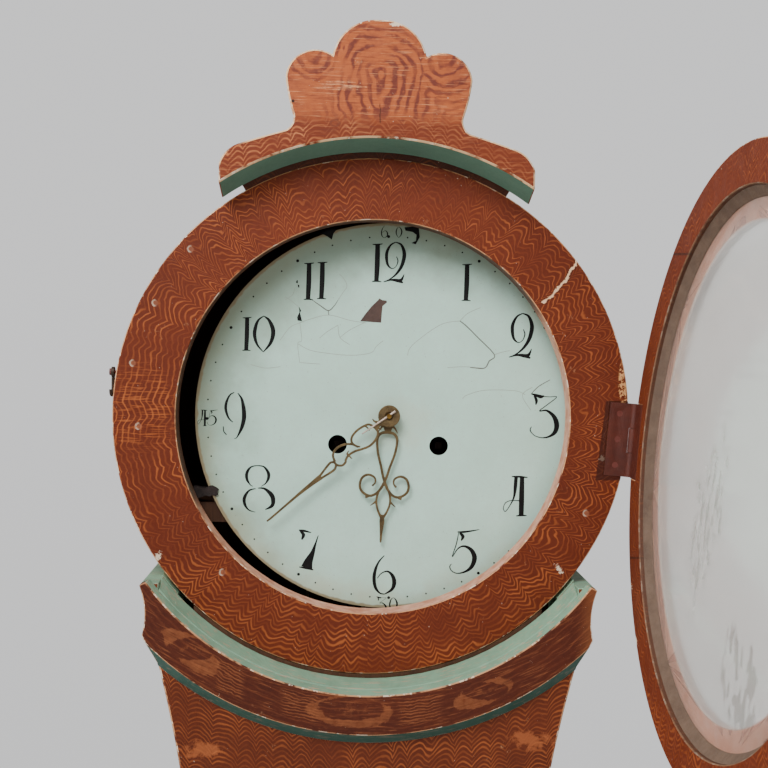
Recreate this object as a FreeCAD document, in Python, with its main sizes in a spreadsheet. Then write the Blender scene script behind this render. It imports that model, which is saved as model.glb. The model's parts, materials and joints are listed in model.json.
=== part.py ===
import FreeCAD, Part
import Sketcher
import math
import os
import types

# A tall painted case clock of hourglass form, with a round hood, a hinged glass door on the hood
# and an eight-day striking movement. Front is -Y, up is +Z, the floor is Z = 0.
# Every length is in millimetres. Heights in the head are counted from the hood's centre.

V = FreeCAD.Vector
X_AXIS = V(1, 0, 0)
Y_AXIS = V(0, 1, 0)
Z_AXIS = V(0, 0, 1)

# Driving dimensions: alias, value, meaning
SIZES = (
    ("dial_height", "1815", "floor to the hood's centre"),
    ("case_depth", "230", "trunk front to back of the backboard"),
    ("front_board", "20", "thickness of the trunk's front frame"),
    ("side_board", "14", "thickness of the trunk's side boards"),
    ("back_board", "10", "thickness of the backboard"),
    ("plinth_width", "424", "outside width of the plinth"),
    ("plinth_height", "300", "height of the plinth's boards"),
    ("plinth_board", "18", "thickness of the plinth's boards"),
    ("floor_board", "14", "thickness of the board the clock stands on"),
    ("skirt_height", "70", "height of the skirting round the plinth"),
    ("skirt_board", "12", "thickness of the skirting"),
    ("foot_moulding_height", "30", "height of the moulding between plinth and trunk"),
    ("foot_moulding_out", "10", "how far that moulding stands out of the plinth"),
    ("foot_width", "376", "trunk width where it meets the plinth"),
    ("belly_width", "484", "greatest width of the trunk"),
    ("belly_share", "0.377", "share of the trunk's height up to its greatest width"),
    ("waist_width", "282", "least width of the trunk"),
    ("waist_share", "0.754", "share of the trunk's height up to its least width"),
    ("shoulder_width", "362", "trunk width under the collar"),
    ("shoulder_drop", "212", "hood centre down to the visible top of the trunk"),
    ("door_width", "186", "width of the trunk door"),
    ("door_foot_share", "0.2435", "share of the trunk's height up to the door's lower edge"),
    ("door_head_share", "0.8405", "share of the trunk's height up to the door's upper edge"),
    ("door_board", "18", "thickness of the trunk door"),
    ("door_gap", "1.5", "gap between the trunk door and its frame"),
    ("knob_radius", "11", "radius of the trunk door's knob"),
    ("knob_length", "24", "length of the trunk door's knob"),
    ("knob_neck", "5", "neck radius of the trunk door's knob"),
    ("door_hinge_length", "60", "length of a trunk door hinge"),
    ("door_hinge_leaf", "20", "width of a trunk door hinge leaf"),
    ("door_hinge_sheet", "2", "thickness of a trunk door hinge leaf"),
    ("door_hinge_barrel", "3.5", "barrel radius of a trunk door hinge"),
    ("door_hinge_inset", "110", "hinge centre from the end of the trunk door"),
    ("ring_radius", "226", "outer radius of the hood ring"),
    ("ring_width", "53.5", "radial width of the hood ring"),
    ("ring_board", "23", "thickness of the hood ring"),
    ("ring_set_back", "20", "hood ring's face behind the trunk's face"),
    ("opening_offset", "1.4", "opening centre right of the ring's centre"),
    ("hoop_inset", "4", "ring rim to the hoop's outer face"),
    ("hoop_board", "8", "thickness of the bent hoop"),
    ("hood_gap", "1", "gap between the hood and the backboard"),
    ("rib_width", "14", "radial width of the hood's rear rib"),
    ("rib_board", "12", "thickness of the hood's rear rib"),
    ("collar_gap", "3", "ring rim to the collar's hollow top"),
    ("collar_flare", "8", "widening of that hollow to the collar's face, for the glazed door's swing"),
    ("runner_drop", "139.5", "hood centre down to the runners that the hood slides on"),
    ("collar_face", "33.5", "height of the collar's front face"),
    ("collar_bevel", "10.5", "height of the bevel under the collar's face"),
    ("collar_out", "10", "collar's face in front of the trunk's face"),
    ("collar_tip", "196", "half width at the collar's upper tips"),
    ("collar_waist", "191.3", "half width in the hollow of the collar's ends"),
    ("collar_foot", "193.3", "half width at the collar's lower corners"),
    ("collar_tip_drop", "143.6", "hood centre down to the collar's tips"),
    ("collar_waist_drop", "164.6", "hood centre down to the hollow of the ends"),
    ("collar_foot_drop", "187", "hood centre down to the lower corners"),
    ("seat_gap", "0.3", "ring rim to the rail it rests on"),
    ("rail_drop", "262", "hood centre down to the foot of that rail"),
    ("cheek_drop", "100", "hood centre down to the top of the cheeks"),
    ("cheek_depth", "110", "depth of the cheeks that carry the movement"),
    ("seat_board", "18", "thickness of the board under the movement"),
    ("seat_board_depth", "84", "depth of the board under the movement"),
    ("line_slot_width", "70", "width of a line slot in that board"),
    ("line_slot_depth", "24", "depth of a line slot in that board"),
    ("crest_out", "32", "crest's face in front of the hood ring's face"),
    ("crest_gap", "4.5", "ring rim to the back edge of the crest's bevel"),
    ("crest_bevel", "8", "rise of the crest's bevel to its front edge"),
    ("crest_half_width", "133.5", "half width of the crest"),
    ("crest_rise", "110.5", "ring rim up to the top of the crest"),
    ("crest_block_depth", "46", "depth of the block behind the crest"),
    ("crest_block_height", "22", "height of the block behind the crest"),
    ("crest_block_share", "0.85", "share of the crest's half width that the block spans along the ring's rim"),
    ("bezel_board", "20", "thickness of the glazed door's ring"),
    ("bezel_rebate_in", "31", "ring rim in to the rebate in the glazed door"),
    ("bezel_lip", "8", "thickness of the lip in front of the glass"),
    ("glass_sheet", "2.5", "thickness of the glass"),
    ("glass_gap", "1", "rebate wall to the glass edge"),
    ("putty_width", "10", "width of the putty on the glass"),
    ("hinge_length", "65", "length of the glazed door's hinge"),
    ("hinge_leaf", "18", "width of that hinge's leaves"),
    ("hinge_sheet", "1.8", "thickness of that hinge's leaves"),
    ("hinge_barrel", "3.6", "barrel radius of that hinge"),
    ("hinge_out", "4.2", "hinge axis outside the ring's rim"),
    ("hinge_knuckle_gap", "0.4", "gap between the hinge's knuckles"),
    ("hinge_pin_radius", "1.5", "radius of the hinge pin"),
    ("hinge_screw_radius", "2.6", "head radius of the hinge screws"),
    ("hinge_screw_shank", "1.4", "shank radius of the hinge screws"),
    ("hinge_screw_length", "14", "length of the hinge screws"),
    ("running_gap", "0.05", "radial clearance of a turning fit"),
    ("latch_wire", "1.5", "wire radius of the hook on the hood"),
    ("latch_length", "15", "pivot to the bend of the hook"),
    ("latch_bend", "5", "middle radius of the hook's bend"),
    ("latch_eye", "4.5", "outer radius of the hook's eye"),
    ("latch_stud_length", "16", "length of the stud that carries the hook"),
    ("latch_out", "4", "hook's plane outside the ring's rim"),
    ("latch_set_back", "10", "hook's pivot behind the ring's face"),
    ("movement_offset", "16", "movement right of the hood's centre"),
    ("dial_lap", "2.5", "how far the dial's edge runs past the opening, behind the ring"),
    ("dial_sheet", "1.2", "thickness of the dial"),
    ("dial_set_back", "40", "dial face behind the hood ring's face"),
    ("dial_drop", "1", "dial centre below the hands' centre"),
    ("dial_bore", "7", "radius of the hole for the hands' pipes"),
    ("winding_hole", "8.5", "radius of the winding holes"),
    ("winding_apart", "92", "distance between the winding holes"),
    ("winding_drop", "27", "hands' centre down to the winding holes"),
    ("dial_foot_radius", "3", "radius of the dial's feet"),
    ("dial_foot_length", "21.8", "length of the dial's feet"),
    ("dial_clip_width", "18", "width of the clip at the dial's edge"),
    ("plate_width", "176", "width of the movement's plates"),
    ("plate_foot", "81.8", "hands' centre down to the foot of the plates"),
    ("plate_head", "112", "hands' centre up to the top of the plates"),
    ("plate_sheet", "3", "thickness of the plates"),
    ("plate_gap", "58", "distance between the plates"),
    ("pillar_radius", "5", "radius of the movement's pillars"),
    ("pillar_inset", "8", "pillar centre from the plates' edges"),
    ("pivot", "1.5", "radius of the pivots"),
    ("arbor", "2.6", "radius of the arbors"),
    ("pivot_shoulder", "0.4", "arbor's shoulder to the plate"),
    ("wheel_sheet", "2.4", "thickness of the train's wheels"),
    ("drum_radius", "25", "radius of the line drums"),
    ("drum_flange", "31", "radius of the drums' flanges"),
    ("drum_length", "35", "length of the drums"),
    ("flange_sheet", "2", "thickness of the drums' flanges"),
    ("winding_arbor", "4.4", "radius of the winding arbors"),
    ("winding_square", "6.4", "side of the winding squares"),
    ("line_radius", "1.25", "radius of the weight lines"),
    ("line_knot", "34", "length of the toggles that hold the lines"),
    ("weight_radius", "35", "radius of the weights"),
    ("weight_height", "190", "height of the weights"),
    ("weight_foot", "62", "floor to the foot of the weights when run down"),
    ("stirrup_height", "46", "weight top to the pulley's centre"),
    ("stirrup_sheet", "2.5", "thickness of the pulley stirrups"),
    ("stirrup_width", "16", "width of the pulley stirrups"),
    ("pulley_sheet", "7", "thickness of the pulleys"),
    ("pulley_side_gap", "1", "gap between a pulley and its stirrup"),
    ("axle_radius", "2.5", "radius of the pulley axles"),
    ("anchor_height", "83", "hands' centre up to the anchor's axis"),
    ("escape_height", "51.2", "hands' centre up to the escape wheel"),
    ("escape_radius", "22", "radius of the escape wheel"),
    ("pallet_gap", "0.25", "pallets to the escape wheel at mid swing"),
    ("pendulum_length", "994", "suspension to the centre of the bob"),
    ("pendulum_set_back", "44", "pendulum's plane behind the plates' middle"),
    ("pendulum_rod", "2.5", "radius of the pendulum's rod"),
    ("bob_radius", "56", "radius of the pendulum's bob"),
    ("bob_thickness", "22", "thickness of the pendulum's bob"),
    ("crutch_length", "120", "length of the crutch"),
    ("bell_radius", "40", "radius of the bell's mouth"),
    ("bell_wall", "2.5", "thickness of the bell"),
    ("bell_top", "166", "hands' centre up to the top of the bell"),
    ("hand_sheet", "1.4", "thickness of the hands"),
    ("hour_set_out", "4.5", "hour hand's back in front of the dial"),
    ("minute_set_out", "9.5", "minute hand's back in front of the dial"),
    ("hour_length", "117", "length of the hour hand"),
    ("minute_length", "146", "length of the minute hand"),
    ("hand_wire", "2.4", "width of the pierced hands' bars"),
    ("hour_hub", "9", "radius of the hour hand's hub"),
    ("minute_hub", "8", "radius of the minute hand's hub"),
    ("minute_pipe", "3.6", "outer radius of the minute hand's pipe"),
    ("hour_pipe", "5.2", "outer radius of the hour hand's pipe"),
)

sheet_rows = enumerate(SIZES, start=1)
doc = FreeCAD.newDocument("tall_clock")
sheet = doc.addObject("Spreadsheet::Sheet", "Sizes")
for row, (alias, value, meaning) in sheet_rows:
    sheet.set("A%d" % row, meaning)
    sheet.set("B%d" % row, value)
    sheet.setAlias("B%d" % row, alias)
doc.recompute()
d = types.SimpleNamespace(**{alias: float(sheet.get(alias)) for alias, value, meaning in SIZES})

# Tooth counts and angles
GOING_GREAT_TEETH = 96
STRIKE_GREAT_TEETH = 78
CENTRE_TEETH = 64
THIRD_TEETH = 60
PIN_WHEEL_TEETH = 60
PINION_LEAVES = 8
ESCAPE_TEETH = 30
CANNON_TEETH = 30
HOUR_TEETH = 72
MINUTE_PINION_LEAVES = 6
HAMMER_PINS = 8
HOUR_HAND_ANGLE = -181.3
MINUTE_HAND_ANGLE = -225.8
BEZEL_ANGLE = 91.0
HINGE_ANGLE = 4.0
HOOP_HALF_ANGLE = 128.6
RIB_HALF_ANGLE = 118.0
PALLET_ANGLE = 45.0

# Levels along Y, from the front to the back
case_front = -d.case_depth / 2
case_back = d.case_depth / 2
board_front = case_back - d.back_board
collar_front = case_front - d.collar_out
ring_front = case_front + d.ring_set_back
ring_back = ring_front + d.ring_board
crest_front = ring_front - d.crest_out
dial_front = ring_front + d.dial_set_back
dial_back = dial_front + d.dial_sheet
plate_front = dial_back + d.dial_foot_length
movement_front = plate_front + d.plate_sheet
movement_back = movement_front + d.plate_gap
movement_y = movement_front + d.plate_gap / 2
hoop_back = board_front - d.hood_gap
pendulum_y = movement_y + d.pendulum_set_back
hood = V(0, 0, d.dial_height)
movement_x = d.movement_offset
dial_radius = d.ring_radius - d.ring_width + d.dial_lap

nodes = []


def amount(text):
    """The value of a sum of the sheet's aliases, such as 'ring_radius - hoop_inset'."""
    total = 0
    sign = 1
    for word in text.split():
        if word in "+-":
            sign = 1 if word == "+" else -1
        else:
            total += sign * getattr(d, word)
    return total


def bound(text):
    """The same sum as an expression on the sheet."""
    return " ".join(word if word in "+-" else "Sizes." + word for word in text.split())


def keep(item, name):
    item.Label = name
    nodes.append(item)
    return item


def at(x, y, z, axis=Z_AXIS, angle=0):
    return FreeCAD.Placement(V(x, y, z), FreeCAD.Rotation(axis, angle))


def segment(start, end):
    return Part.LineSegment(V(start[0], start[1], 0), V(end[0], end[1], 0))


def arc(start, middle, end):
    return Part.Arc(V(start[0], start[1], 0), V(middle[0], middle[1], 0), V(end[0], end[1], 0))


def outline(points):
    return [segment(p, q) for p, q in zip(points, points[1:] + points[:1])]


def polar(radius, degrees, centre=(0, 0)):
    angle = math.radians(degrees)
    return (centre[0] + radius * math.cos(angle), centre[1] + radius * math.sin(angle))


def sketch_in(body, role, name):
    plane = next(f for f in body.Origin.OriginFeatures if f.Role == role)
    sketch = body.newObject("Sketcher::SketchObject", name)
    sketch.AttachmentSupport = [(plane, "")]
    sketch.MapMode = "FlatFace"
    return sketch


def circle_in(sketch, radius, centre=(0, 0)):
    """A circle whose radius follows the sheet."""
    value = amount(radius)
    index = sketch.addGeometry(Part.Circle(V(centre[0], centre[1], 0), Z_AXIS, value), False)
    number = sketch.addConstraint(Sketcher.Constraint("Radius", index, value))
    sketch.setExpression("Constraints[%d]" % number, bound(radius))


def padded(name, thickness, placement, edges=(), circles=(), role="XZ_Plane"):
    """A flat piece: an outline and round holes, padded towards the front (or up)."""
    body = doc.addObject("PartDesign::Body", name)
    sketch = sketch_in(body, role, name + "_sketch")
    sketch.addGeometry(list(edges), False)
    for circle in circles:
        circle_in(sketch, *circle)
    pad = body.newObject("PartDesign::Pad", name + "_pad")
    pad.Profile = sketch
    pad.setExpression("Length", bound(thickness))
    body.Tip = pad
    body.Placement = placement
    return body


def turned(name, profile, placement, role="XY_Plane"):
    """A turned piece: a half section spun about the sketch's upright axis."""
    body = doc.addObject("PartDesign::Body", name)
    sketch = sketch_in(body, role, name + "_sketch")
    sketch.addGeometry(outline(profile), False)
    spin = body.newObject("PartDesign::Revolution", name + "_turn")
    spin.Profile = sketch
    spin.ReferenceAxis = (sketch, ["V_Axis"])
    spin.Angle = 360
    body.Tip = spin
    body.Placement = placement
    return body


def block(name, length, width, height, corner):
    """A box whose three sides follow the sheet."""
    item = doc.addObject("Part::Box", name)
    item.setExpression("Length", bound(length))
    item.setExpression("Width", bound(width))
    item.setExpression("Height", bound(height))
    item.Placement = FreeCAD.Placement(V(*corner), FreeCAD.Rotation())
    return item


def solid_box(low, high):
    """A plain box shape between two corners."""
    size = V(*high) - V(*low)
    return Part.makeBox(size.x, size.y, size.z, V(*low))


def rod(start, end, radius):
    """A plain round bar between two points."""
    line = V(*end) - V(*start)
    return Part.makeCylinder(radius, line.Length, V(*start), line)


def front_plate_of(edges, back, thickness, origin=V(0, 0, 0)):
    """A flat shape drawn in X and Z, from a back level towards the front."""
    wire = Part.Wire(Part.__sortEdges__([edge.toShape() for edge in edges]))
    face = Part.Face(wire)
    face.rotate(V(0, 0, 0), X_AXIS, 90)
    face.translate(V(origin.x, back, origin.z))
    return face.extrude(V(0, -thickness, 0))


def feature(name, shape, placement=None):
    item = doc.addObject("Part::Feature", name)
    item.Shape = shape
    if placement:
        item.Placement = placement
    return keep(item, name)


def joined(shapes):
    """One solid from overlapping shapes."""
    whole = shapes[0].multiFuse(shapes[1:]).removeSplitter()
    return whole.Solids[0] if len(whole.Solids) == 1 else whole


# The hourglass curve of the case

foot_level = d.plinth_height + d.foot_moulding_height
shoulder_level = d.dial_height - d.shoulder_drop
trunk_height = shoulder_level - foot_level
belly_level = foot_level + trunk_height * d.belly_share
waist_level = foot_level + trunk_height * d.waist_share
door_bottom = foot_level + trunk_height * d.door_foot_share
door_top = foot_level + trunk_height * d.door_head_share
stations = (
    (d.foot_width / 2, foot_level),
    (d.belly_width / 2, belly_level),
    (d.waist_width / 2, waist_level),
)


def swell(low, high):
    """Two equal tangent arcs that leave and arrive upright, between two stations."""
    across = high[0] - low[0]
    rise = high[1] - low[1]
    radius = (across ** 2 + rise ** 2) / (4 * abs(across))
    way = math.copysign(1, across)
    half_turn = math.asin(rise / 2 / radius) / 2
    middle = ((low[0] + high[0]) / 2, (low[1] + high[1]) / 2)
    bulge = radius * (1 - math.cos(half_turn))
    reach = radius * math.sin(half_turn)
    first = (low[0] + way * bulge, low[1] + reach)
    second = (high[0] - way * bulge, high[1] - reach)
    return [arc(low, first, middle), arc(middle, second, high)]


def case_side(inset):
    """The right edge of the case from its foot to its shoulder, moved in by an inset."""
    points = [(x - inset, z) for x, z in stations]
    waist = points[-1]
    across = (d.shoulder_width - d.waist_width) / 2
    rise = shoulder_level - waist_level
    radius = (across ** 2 + rise ** 2) / (2 * across)
    half_turn = math.asin(rise / radius) / 2
    middle = (waist[0] + radius * (1 - math.cos(half_turn)), waist[1] + radius * math.sin(half_turn))
    shoulder = (waist[0] + across, shoulder_level)
    return swell(points[0], points[1]) + swell(points[1], points[2]) + [arc(waist, middle, shoulder)]


def mirrored(edges):
    """The same edges on the left."""
    copies = []
    for edge in edges:
        first = edge.FirstParameter
        last = edge.LastParameter
        spots = [edge.value(first), edge.value((first + last) / 2), edge.value(last)]
        spots = [(-spot.x, spot.y) for spot in spots]
        straight = isinstance(edge, Part.LineSegment)
        copies.append(segment(spots[0], spots[2]) if straight else arc(*spots))
    return copies


def side_point(inset, level):
    half = d.foot_width / 2 if level == foot_level else d.shoulder_width / 2
    return (half - inset, level)


def case_outline(inset, top):
    """The closed front outline of the case up to a level above its shoulder."""
    edges = case_side(inset) + mirrored(case_side(inset))
    low = side_point(inset, foot_level)
    high = side_point(inset, shoulder_level)
    edges.append(segment((-low[0], low[1]), low))
    for side in (1, -1):
        edges.append(segment((side * high[0], high[1]), (side * high[0], top)))
    edges.append(segment((-high[0], top), (high[0], top)))
    return edges


# Plinth and trunk

half_plinth = d.plinth_width / 2
half_shoulder = d.shoulder_width / 2


def make_plinth():
    inner = half_plinth - d.plinth_board
    floor = block("floor_board", "plinth_width - plinth_board - plinth_board", "case_depth - plinth_board",
                  "floor_board", (-inner, case_front + d.plinth_board, 0))
    keep(floor, "floor_board")
    front = block("plinth_front", "plinth_width", "plinth_board", "plinth_height",
                  (-half_plinth, case_front, 0))
    sides = [block("plinth_side", "plinth_board", "case_depth - plinth_board", "plinth_height",
                   (x, case_front + d.plinth_board, 0)) for x in (-half_plinth, inner)]
    boards = doc.addObject("Part::Compound", "plinth_boards")
    boards.Links = [front] + sides
    keep(boards, "plinth_boards")
    outer = half_plinth + d.skirt_board
    skirt = solid_box((-outer, case_front - d.skirt_board, 0), (outer, case_back, d.skirt_height))
    skirt = skirt.cut(solid_box((-half_plinth, case_front, 0), (half_plinth, case_back, d.skirt_height)))
    half_out = half_plinth + d.foot_moulding_out
    half_in = d.foot_width / 2
    front_out = case_front - d.foot_moulding_out
    steps = (1, 0.55, 0.2)
    rise = d.foot_moulding_height / len(steps)
    tiers = []
    for index, share in enumerate(steps):
        half = half_in + (half_out - half_in) * share
        level = d.plinth_height + rise * index
        front_y = case_front + (front_out - case_front) * share
        tiers.append(solid_box((-half, front_y, level), (half, case_back, level + rise)))
    moulding = joined(tiers)
    hollow = half_in - d.side_board
    moulding = moulding.cut(solid_box((-hollow, case_front + d.front_board, d.plinth_height),
                                      (hollow, case_back, foot_level)))
    feature("plinth_mouldings", Part.makeCompound([skirt, moulding]))


def trunk_front_edges():
    """Front frame of the trunk: the hourglass, hollowed at the top for the hood ring."""
    radius = d.ring_radius + d.collar_gap
    depth = math.sqrt(radius ** 2 - half_shoulder ** 2)
    corner = d.dial_height - depth
    edges = case_side(0) + mirrored(case_side(0))
    low = side_point(0, foot_level)
    edges.append(segment((-low[0], low[1]), low))
    for side in (1, -1):
        edges.append(segment((side * half_shoulder, shoulder_level), (side * half_shoulder, corner)))
    edges.append(arc((-half_shoulder, corner), (0, d.dial_height - radius), (half_shoulder, corner)))
    half = d.door_width / 2 + d.door_gap
    low_z = door_bottom - d.door_gap
    high_z = door_top + d.door_gap
    return edges + outline([(-half, low_z), (half, low_z), (half, high_z), (-half, high_z)])


def make_trunk():
    front = doc.addObject("Part::Cut", "trunk_front_cut")
    front.Base = padded("trunk_front_board", "front_board", at(0, case_front + d.front_board, 0),
                        trunk_front_edges())
    hollow = doc.addObject("Part::Cone", "collar_hollow")
    hollow.setExpression("Height", bound("ring_set_back + collar_out"))
    hollow.setExpression("Radius1", bound("ring_radius + collar_gap"))
    hollow.setExpression("Radius2", bound("ring_radius + collar_gap + collar_flare"))
    hollow.Placement = at(0, ring_front, d.dial_height, X_AXIS, 90)
    front.Tool = hollow
    keep(front, "trunk_front")
    back = case_front + d.front_board
    depth = board_front - back
    top = d.dial_height - d.runner_drop
    sides = []
    outer = case_side(0)
    inner = case_side(d.side_board)
    low_out = side_point(0, foot_level)
    low_in = side_point(d.side_board, foot_level)
    high_out = side_point(0, shoulder_level)
    high_in = side_point(d.side_board, shoulder_level)
    caps = [segment(low_in, low_out), segment(high_out, (high_out[0], top)),
            segment(high_in, (high_in[0], top)), segment((high_in[0], top), (high_out[0], top))]
    edges = outer + inner + caps
    room = Part.makeCylinder(d.ring_radius + d.collar_gap, d.ring_board + d.collar_gap,
                             hood + V(0, ring_front, 0), Y_AXIS)
    for set_of in (edges, mirrored(edges)):
        sides.append(front_plate_of(set_of, board_front, depth).cut(room))
    feature("trunk_sides", Part.makeCompound(sides))
    board = front_plate_of(case_outline(0, d.dial_height - d.cheek_drop), case_back, d.back_board)
    disc = Part.makeCylinder(d.ring_radius - d.hoop_inset, d.back_board,
                             V(0, board_front, d.dial_height), Y_AXIS)
    foot = solid_box((-half_plinth + d.plinth_board, board_front, d.floor_board),
                     (half_plinth - d.plinth_board, case_back, d.plinth_height))
    hollow = d.foot_width / 2 - d.side_board
    neck = solid_box((-hollow, board_front, d.plinth_height), (hollow, case_back, foot_level))
    feature("backboard", joined([board, disc, foot, neck]))


def make_trunk_door():
    half = d.door_width / 2
    panel = solid_box((-half, case_front, door_bottom), (half, case_front + d.door_board, door_top))
    face_edges = [e for e in panel.Edges
                  if all(abs(v.Point.y - case_front) < d.running_gap for v in e.Vertexes)]
    panel = panel.makeChamfer(d.door_gap * 2, face_edges)
    hinge_x = half + d.door_gap / 2
    hinge_y = case_front - d.door_hinge_barrel
    for level in (door_bottom + d.door_hinge_inset, door_top - d.door_hinge_inset):
        clear = d.door_hinge_barrel + d.running_gap
        panel = panel.cut(Part.makeCylinder(clear, d.door_hinge_length,
                                            V(hinge_x, hinge_y, level - d.door_hinge_length / 2)))
    feature("trunk_door", panel)
    neck = d.knob_length * 0.4
    knob = turned("trunk_door_knob", [(0, 0), (d.knob_neck, 0), (d.knob_neck, -neck),
                                      (d.knob_radius, -neck - d.knob_neck), (d.knob_radius, -d.knob_length),
                                      (d.knob_neck, -d.knob_length - d.knob_neck / 2),
                                      (0, -d.knob_length - d.knob_neck / 2)],
                  at(-half + d.knob_radius * 2, case_front, (door_bottom + door_top) / 2))
    keep(knob, "trunk_door_knob")
    frame_leaves = []
    door_leaves = []
    third = d.door_hinge_length / 3
    for level in (door_bottom + d.door_hinge_inset, door_top - d.door_hinge_inset):
        base = level - d.door_hinge_length / 2
        for side, leaves in ((1, frame_leaves), (-1, door_leaves)):
            x_near = hinge_x + side * d.door_gap / 2
            x_far = hinge_x + side * d.door_hinge_leaf
            leaf = solid_box((min(x_near, x_far), case_front - d.door_hinge_sheet, base),
                             (max(x_near, x_far), case_front, base + d.door_hinge_length))
            spans = ((0, 1), (2, 3)) if side > 0 else ((1, 2),)
            gap = d.hinge_knuckle_gap / 2
            knuckles = []
            for start, end in spans:
                knuckles.append(Part.makeCylinder(d.door_hinge_barrel, (end - start) * third - 2 * gap,
                                                  V(hinge_x, hinge_y, base + start * third + gap)))
            others = ((1, 2),) if side > 0 else ((0, 1), (2, 3))
            for start, end in others:
                room = d.door_hinge_barrel + gap
                leaf = leaf.cut(Part.makeCylinder(room, (end - start) * third,
                                                  V(hinge_x, hinge_y, base + start * third)))
            solid = joined([leaf] + knuckles)
            bore = d.hinge_pin_radius + (d.running_gap if side < 0 else 0)
            pin = Part.makeCylinder(bore, d.door_hinge_length, V(hinge_x, hinge_y, base))
            if side > 0:
                solid = joined([solid, pin])
            else:
                solid = solid.cut(pin)
            leaves.append(solid)
    feature("trunk_hinge_frame_leaves", Part.makeCompound(frame_leaves))
    feature("trunk_hinge_door_leaves", Part.makeCompound(door_leaves))


# Collar, rail and cheeks that carry the hood

def about_hood(profile):
    """A ring-shaped solid about the hood's axis, from radius and depth pairs."""
    wire = Part.makePolygon([V(r, y, d.dial_height) for r, y in profile + profile[:1]])
    return Part.Face(wire).revolve(hood, Y_AXIS, 360)


def collar_end(side, inner):
    """The section of the collar's end: tip, hollow, lower corner and bevel."""
    tip = (side * d.collar_tip, d.dial_height - d.collar_tip_drop)
    waist = (side * d.collar_waist, d.dial_height - d.collar_waist_drop)
    foot = (side * d.collar_foot, d.dial_height - d.collar_foot_drop)
    shoulder = (side * inner, shoulder_level)
    return [segment((side * inner, tip[1]), tip), arc(tip, waist, foot), segment(foot, shoulder),
            segment(shoulder, (side * inner, tip[1]))]


def make_collar():
    hollow = d.ring_radius + d.collar_gap + d.collar_flare
    face = hollow + d.collar_face
    bevel = face + d.collar_bevel
    back = hollow - d.collar_flare * d.collar_out / (d.collar_out + d.ring_set_back)
    sweep = about_hood([(hollow, collar_front), (face, collar_front), (bevel, case_front),
                        (back, case_front)])
    top = d.dial_height - d.collar_tip_drop
    brow = top + (d.collar_tip - half_shoulder) / 2
    foot_z = d.dial_height - bevel - d.collar_gap
    edges = [segment((-d.collar_tip, top), (-half_shoulder, brow)),
             segment((-half_shoulder, brow), (half_shoulder, brow)),
             segment((half_shoulder, brow), (d.collar_tip, top))]
    for side in (1, -1):
        waist = (side * d.collar_waist, d.dial_height - d.collar_waist_drop)
        foot = (side * d.collar_foot, d.dial_height - d.collar_foot_drop)
        edges.append(arc((side * d.collar_tip, top), waist, foot))
        shoulder = (side * half_shoulder, shoulder_level)
        edges.append(segment(foot, shoulder))
        edges.append(segment(shoulder, (shoulder[0], foot_z)))
    edges.append(segment((-half_shoulder, foot_z), (half_shoulder, foot_z)))
    limits = front_plate_of(edges, case_front, d.collar_out)
    feature("collar_front", sweep.common(limits).Solids[0])
    depth = case_back - case_front
    returns = [front_plate_of(collar_end(side, half_shoulder), case_back, depth) for side in (1, -1)]
    feature("collar_returns", Part.makeCompound(returns))
    inner = half_shoulder - d.side_board
    rail = doc.addObject("Part::Cut", "seat_rail")
    rail.Base = block("rail_board", "shoulder_width - side_board - side_board - side_board - side_board",
                      "ring_board", "rail_drop - cheek_drop",
                      (d.side_board - inner, ring_front, d.dial_height - d.rail_drop))
    hole = doc.addObject("Part::Cylinder", "rail_hollow")
    hole.setExpression("Radius", bound("ring_radius + seat_gap"))
    hole.setExpression("Height", bound("case_depth"))
    hole.Placement = at(0, case_back, d.dial_height, X_AXIS, 90)
    rail.Tool = hole
    front = plate_front - d.seat_board
    cheeks = [block("cheek", "side_board", "cheek_depth", "shoulder_drop - cheek_drop",
                    (x, front, shoulder_level)) for x in (-inner, inner - d.side_board)]
    neck = doc.addObject("Part::Compound", "neck_boards")
    neck.Links = [rail] + cheeks
    keep(neck, "neck_boards")
    top = d.dial_height - d.cheek_drop
    seat = solid_box((-inner, front, top), (inner, front + d.seat_board_depth, top + d.seat_board))
    for side in (1, -1):
        x = movement_x + side * d.winding_apart / 2
        seat = seat.cut(solid_box((x - d.line_slot_width / 2, drum_y - d.line_slot_depth / 2, top),
                                  (x + d.line_slot_width / 2, drum_y + d.line_slot_depth / 2,
                                   top + d.seat_board)))
    feature("seat_board", seat)


# Hood: ring, bent hoop, braces and crest

# The crest's right half, as shares of its half width and of its height over the foot of its wings
CREST_WING_SHARES = ((1, 0.092), (1, 0.1735), (0.955, 0.2436), (0.885, 0.2867), (0.787, 0.3161),
                     (0.66, 0.3456), (0.579, 0.3727))
CREST_COVE_SHARES = ((0.579, 0.3727), (0.538, 0.4226), (0.541, 0.47))
CREST_LOBE_SIDE_SHARES = ((0.541, 0.47), (0.572, 0.5743), (0.589, 0.6716))
CREST_LOBE_TOP_SHARES = ((0.589, 0.6716), (0.48, 0.8098), (0.296, 0.7984))
CREST_CROWN_SHARES = ((0.296, 0.7984), (0.186, 0.9547), (0, 1))


def crest_point(share):
    foot = math.sqrt((d.ring_radius + d.crest_gap) ** 2 - d.crest_half_width ** 2)
    top = d.ring_radius + d.crest_rise
    return (share[0] * d.crest_half_width, foot + share[1] * (top - foot))


def crest_edges(base_radius):
    """The crest's outline about the hood's centre, on an arc of the given radius."""
    wing = [crest_point(share) for share in CREST_WING_SHARES]
    half = wing[0][0]
    foot = (half, math.sqrt(base_radius ** 2 - half ** 2))
    right = [segment(foot, wing[1]), arc(wing[1], wing[2], wing[3]), arc(wing[3], wing[4], wing[6])]
    for shares in (CREST_COVE_SHARES, CREST_LOBE_SIDE_SHARES, CREST_LOBE_TOP_SHARES, CREST_CROWN_SHARES):
        right.append(arc(*[crest_point(share) for share in shares]))
    base = [arc((-foot[0], foot[1]), (0, base_radius), foot)]
    return right + mirrored(right) + base


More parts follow.
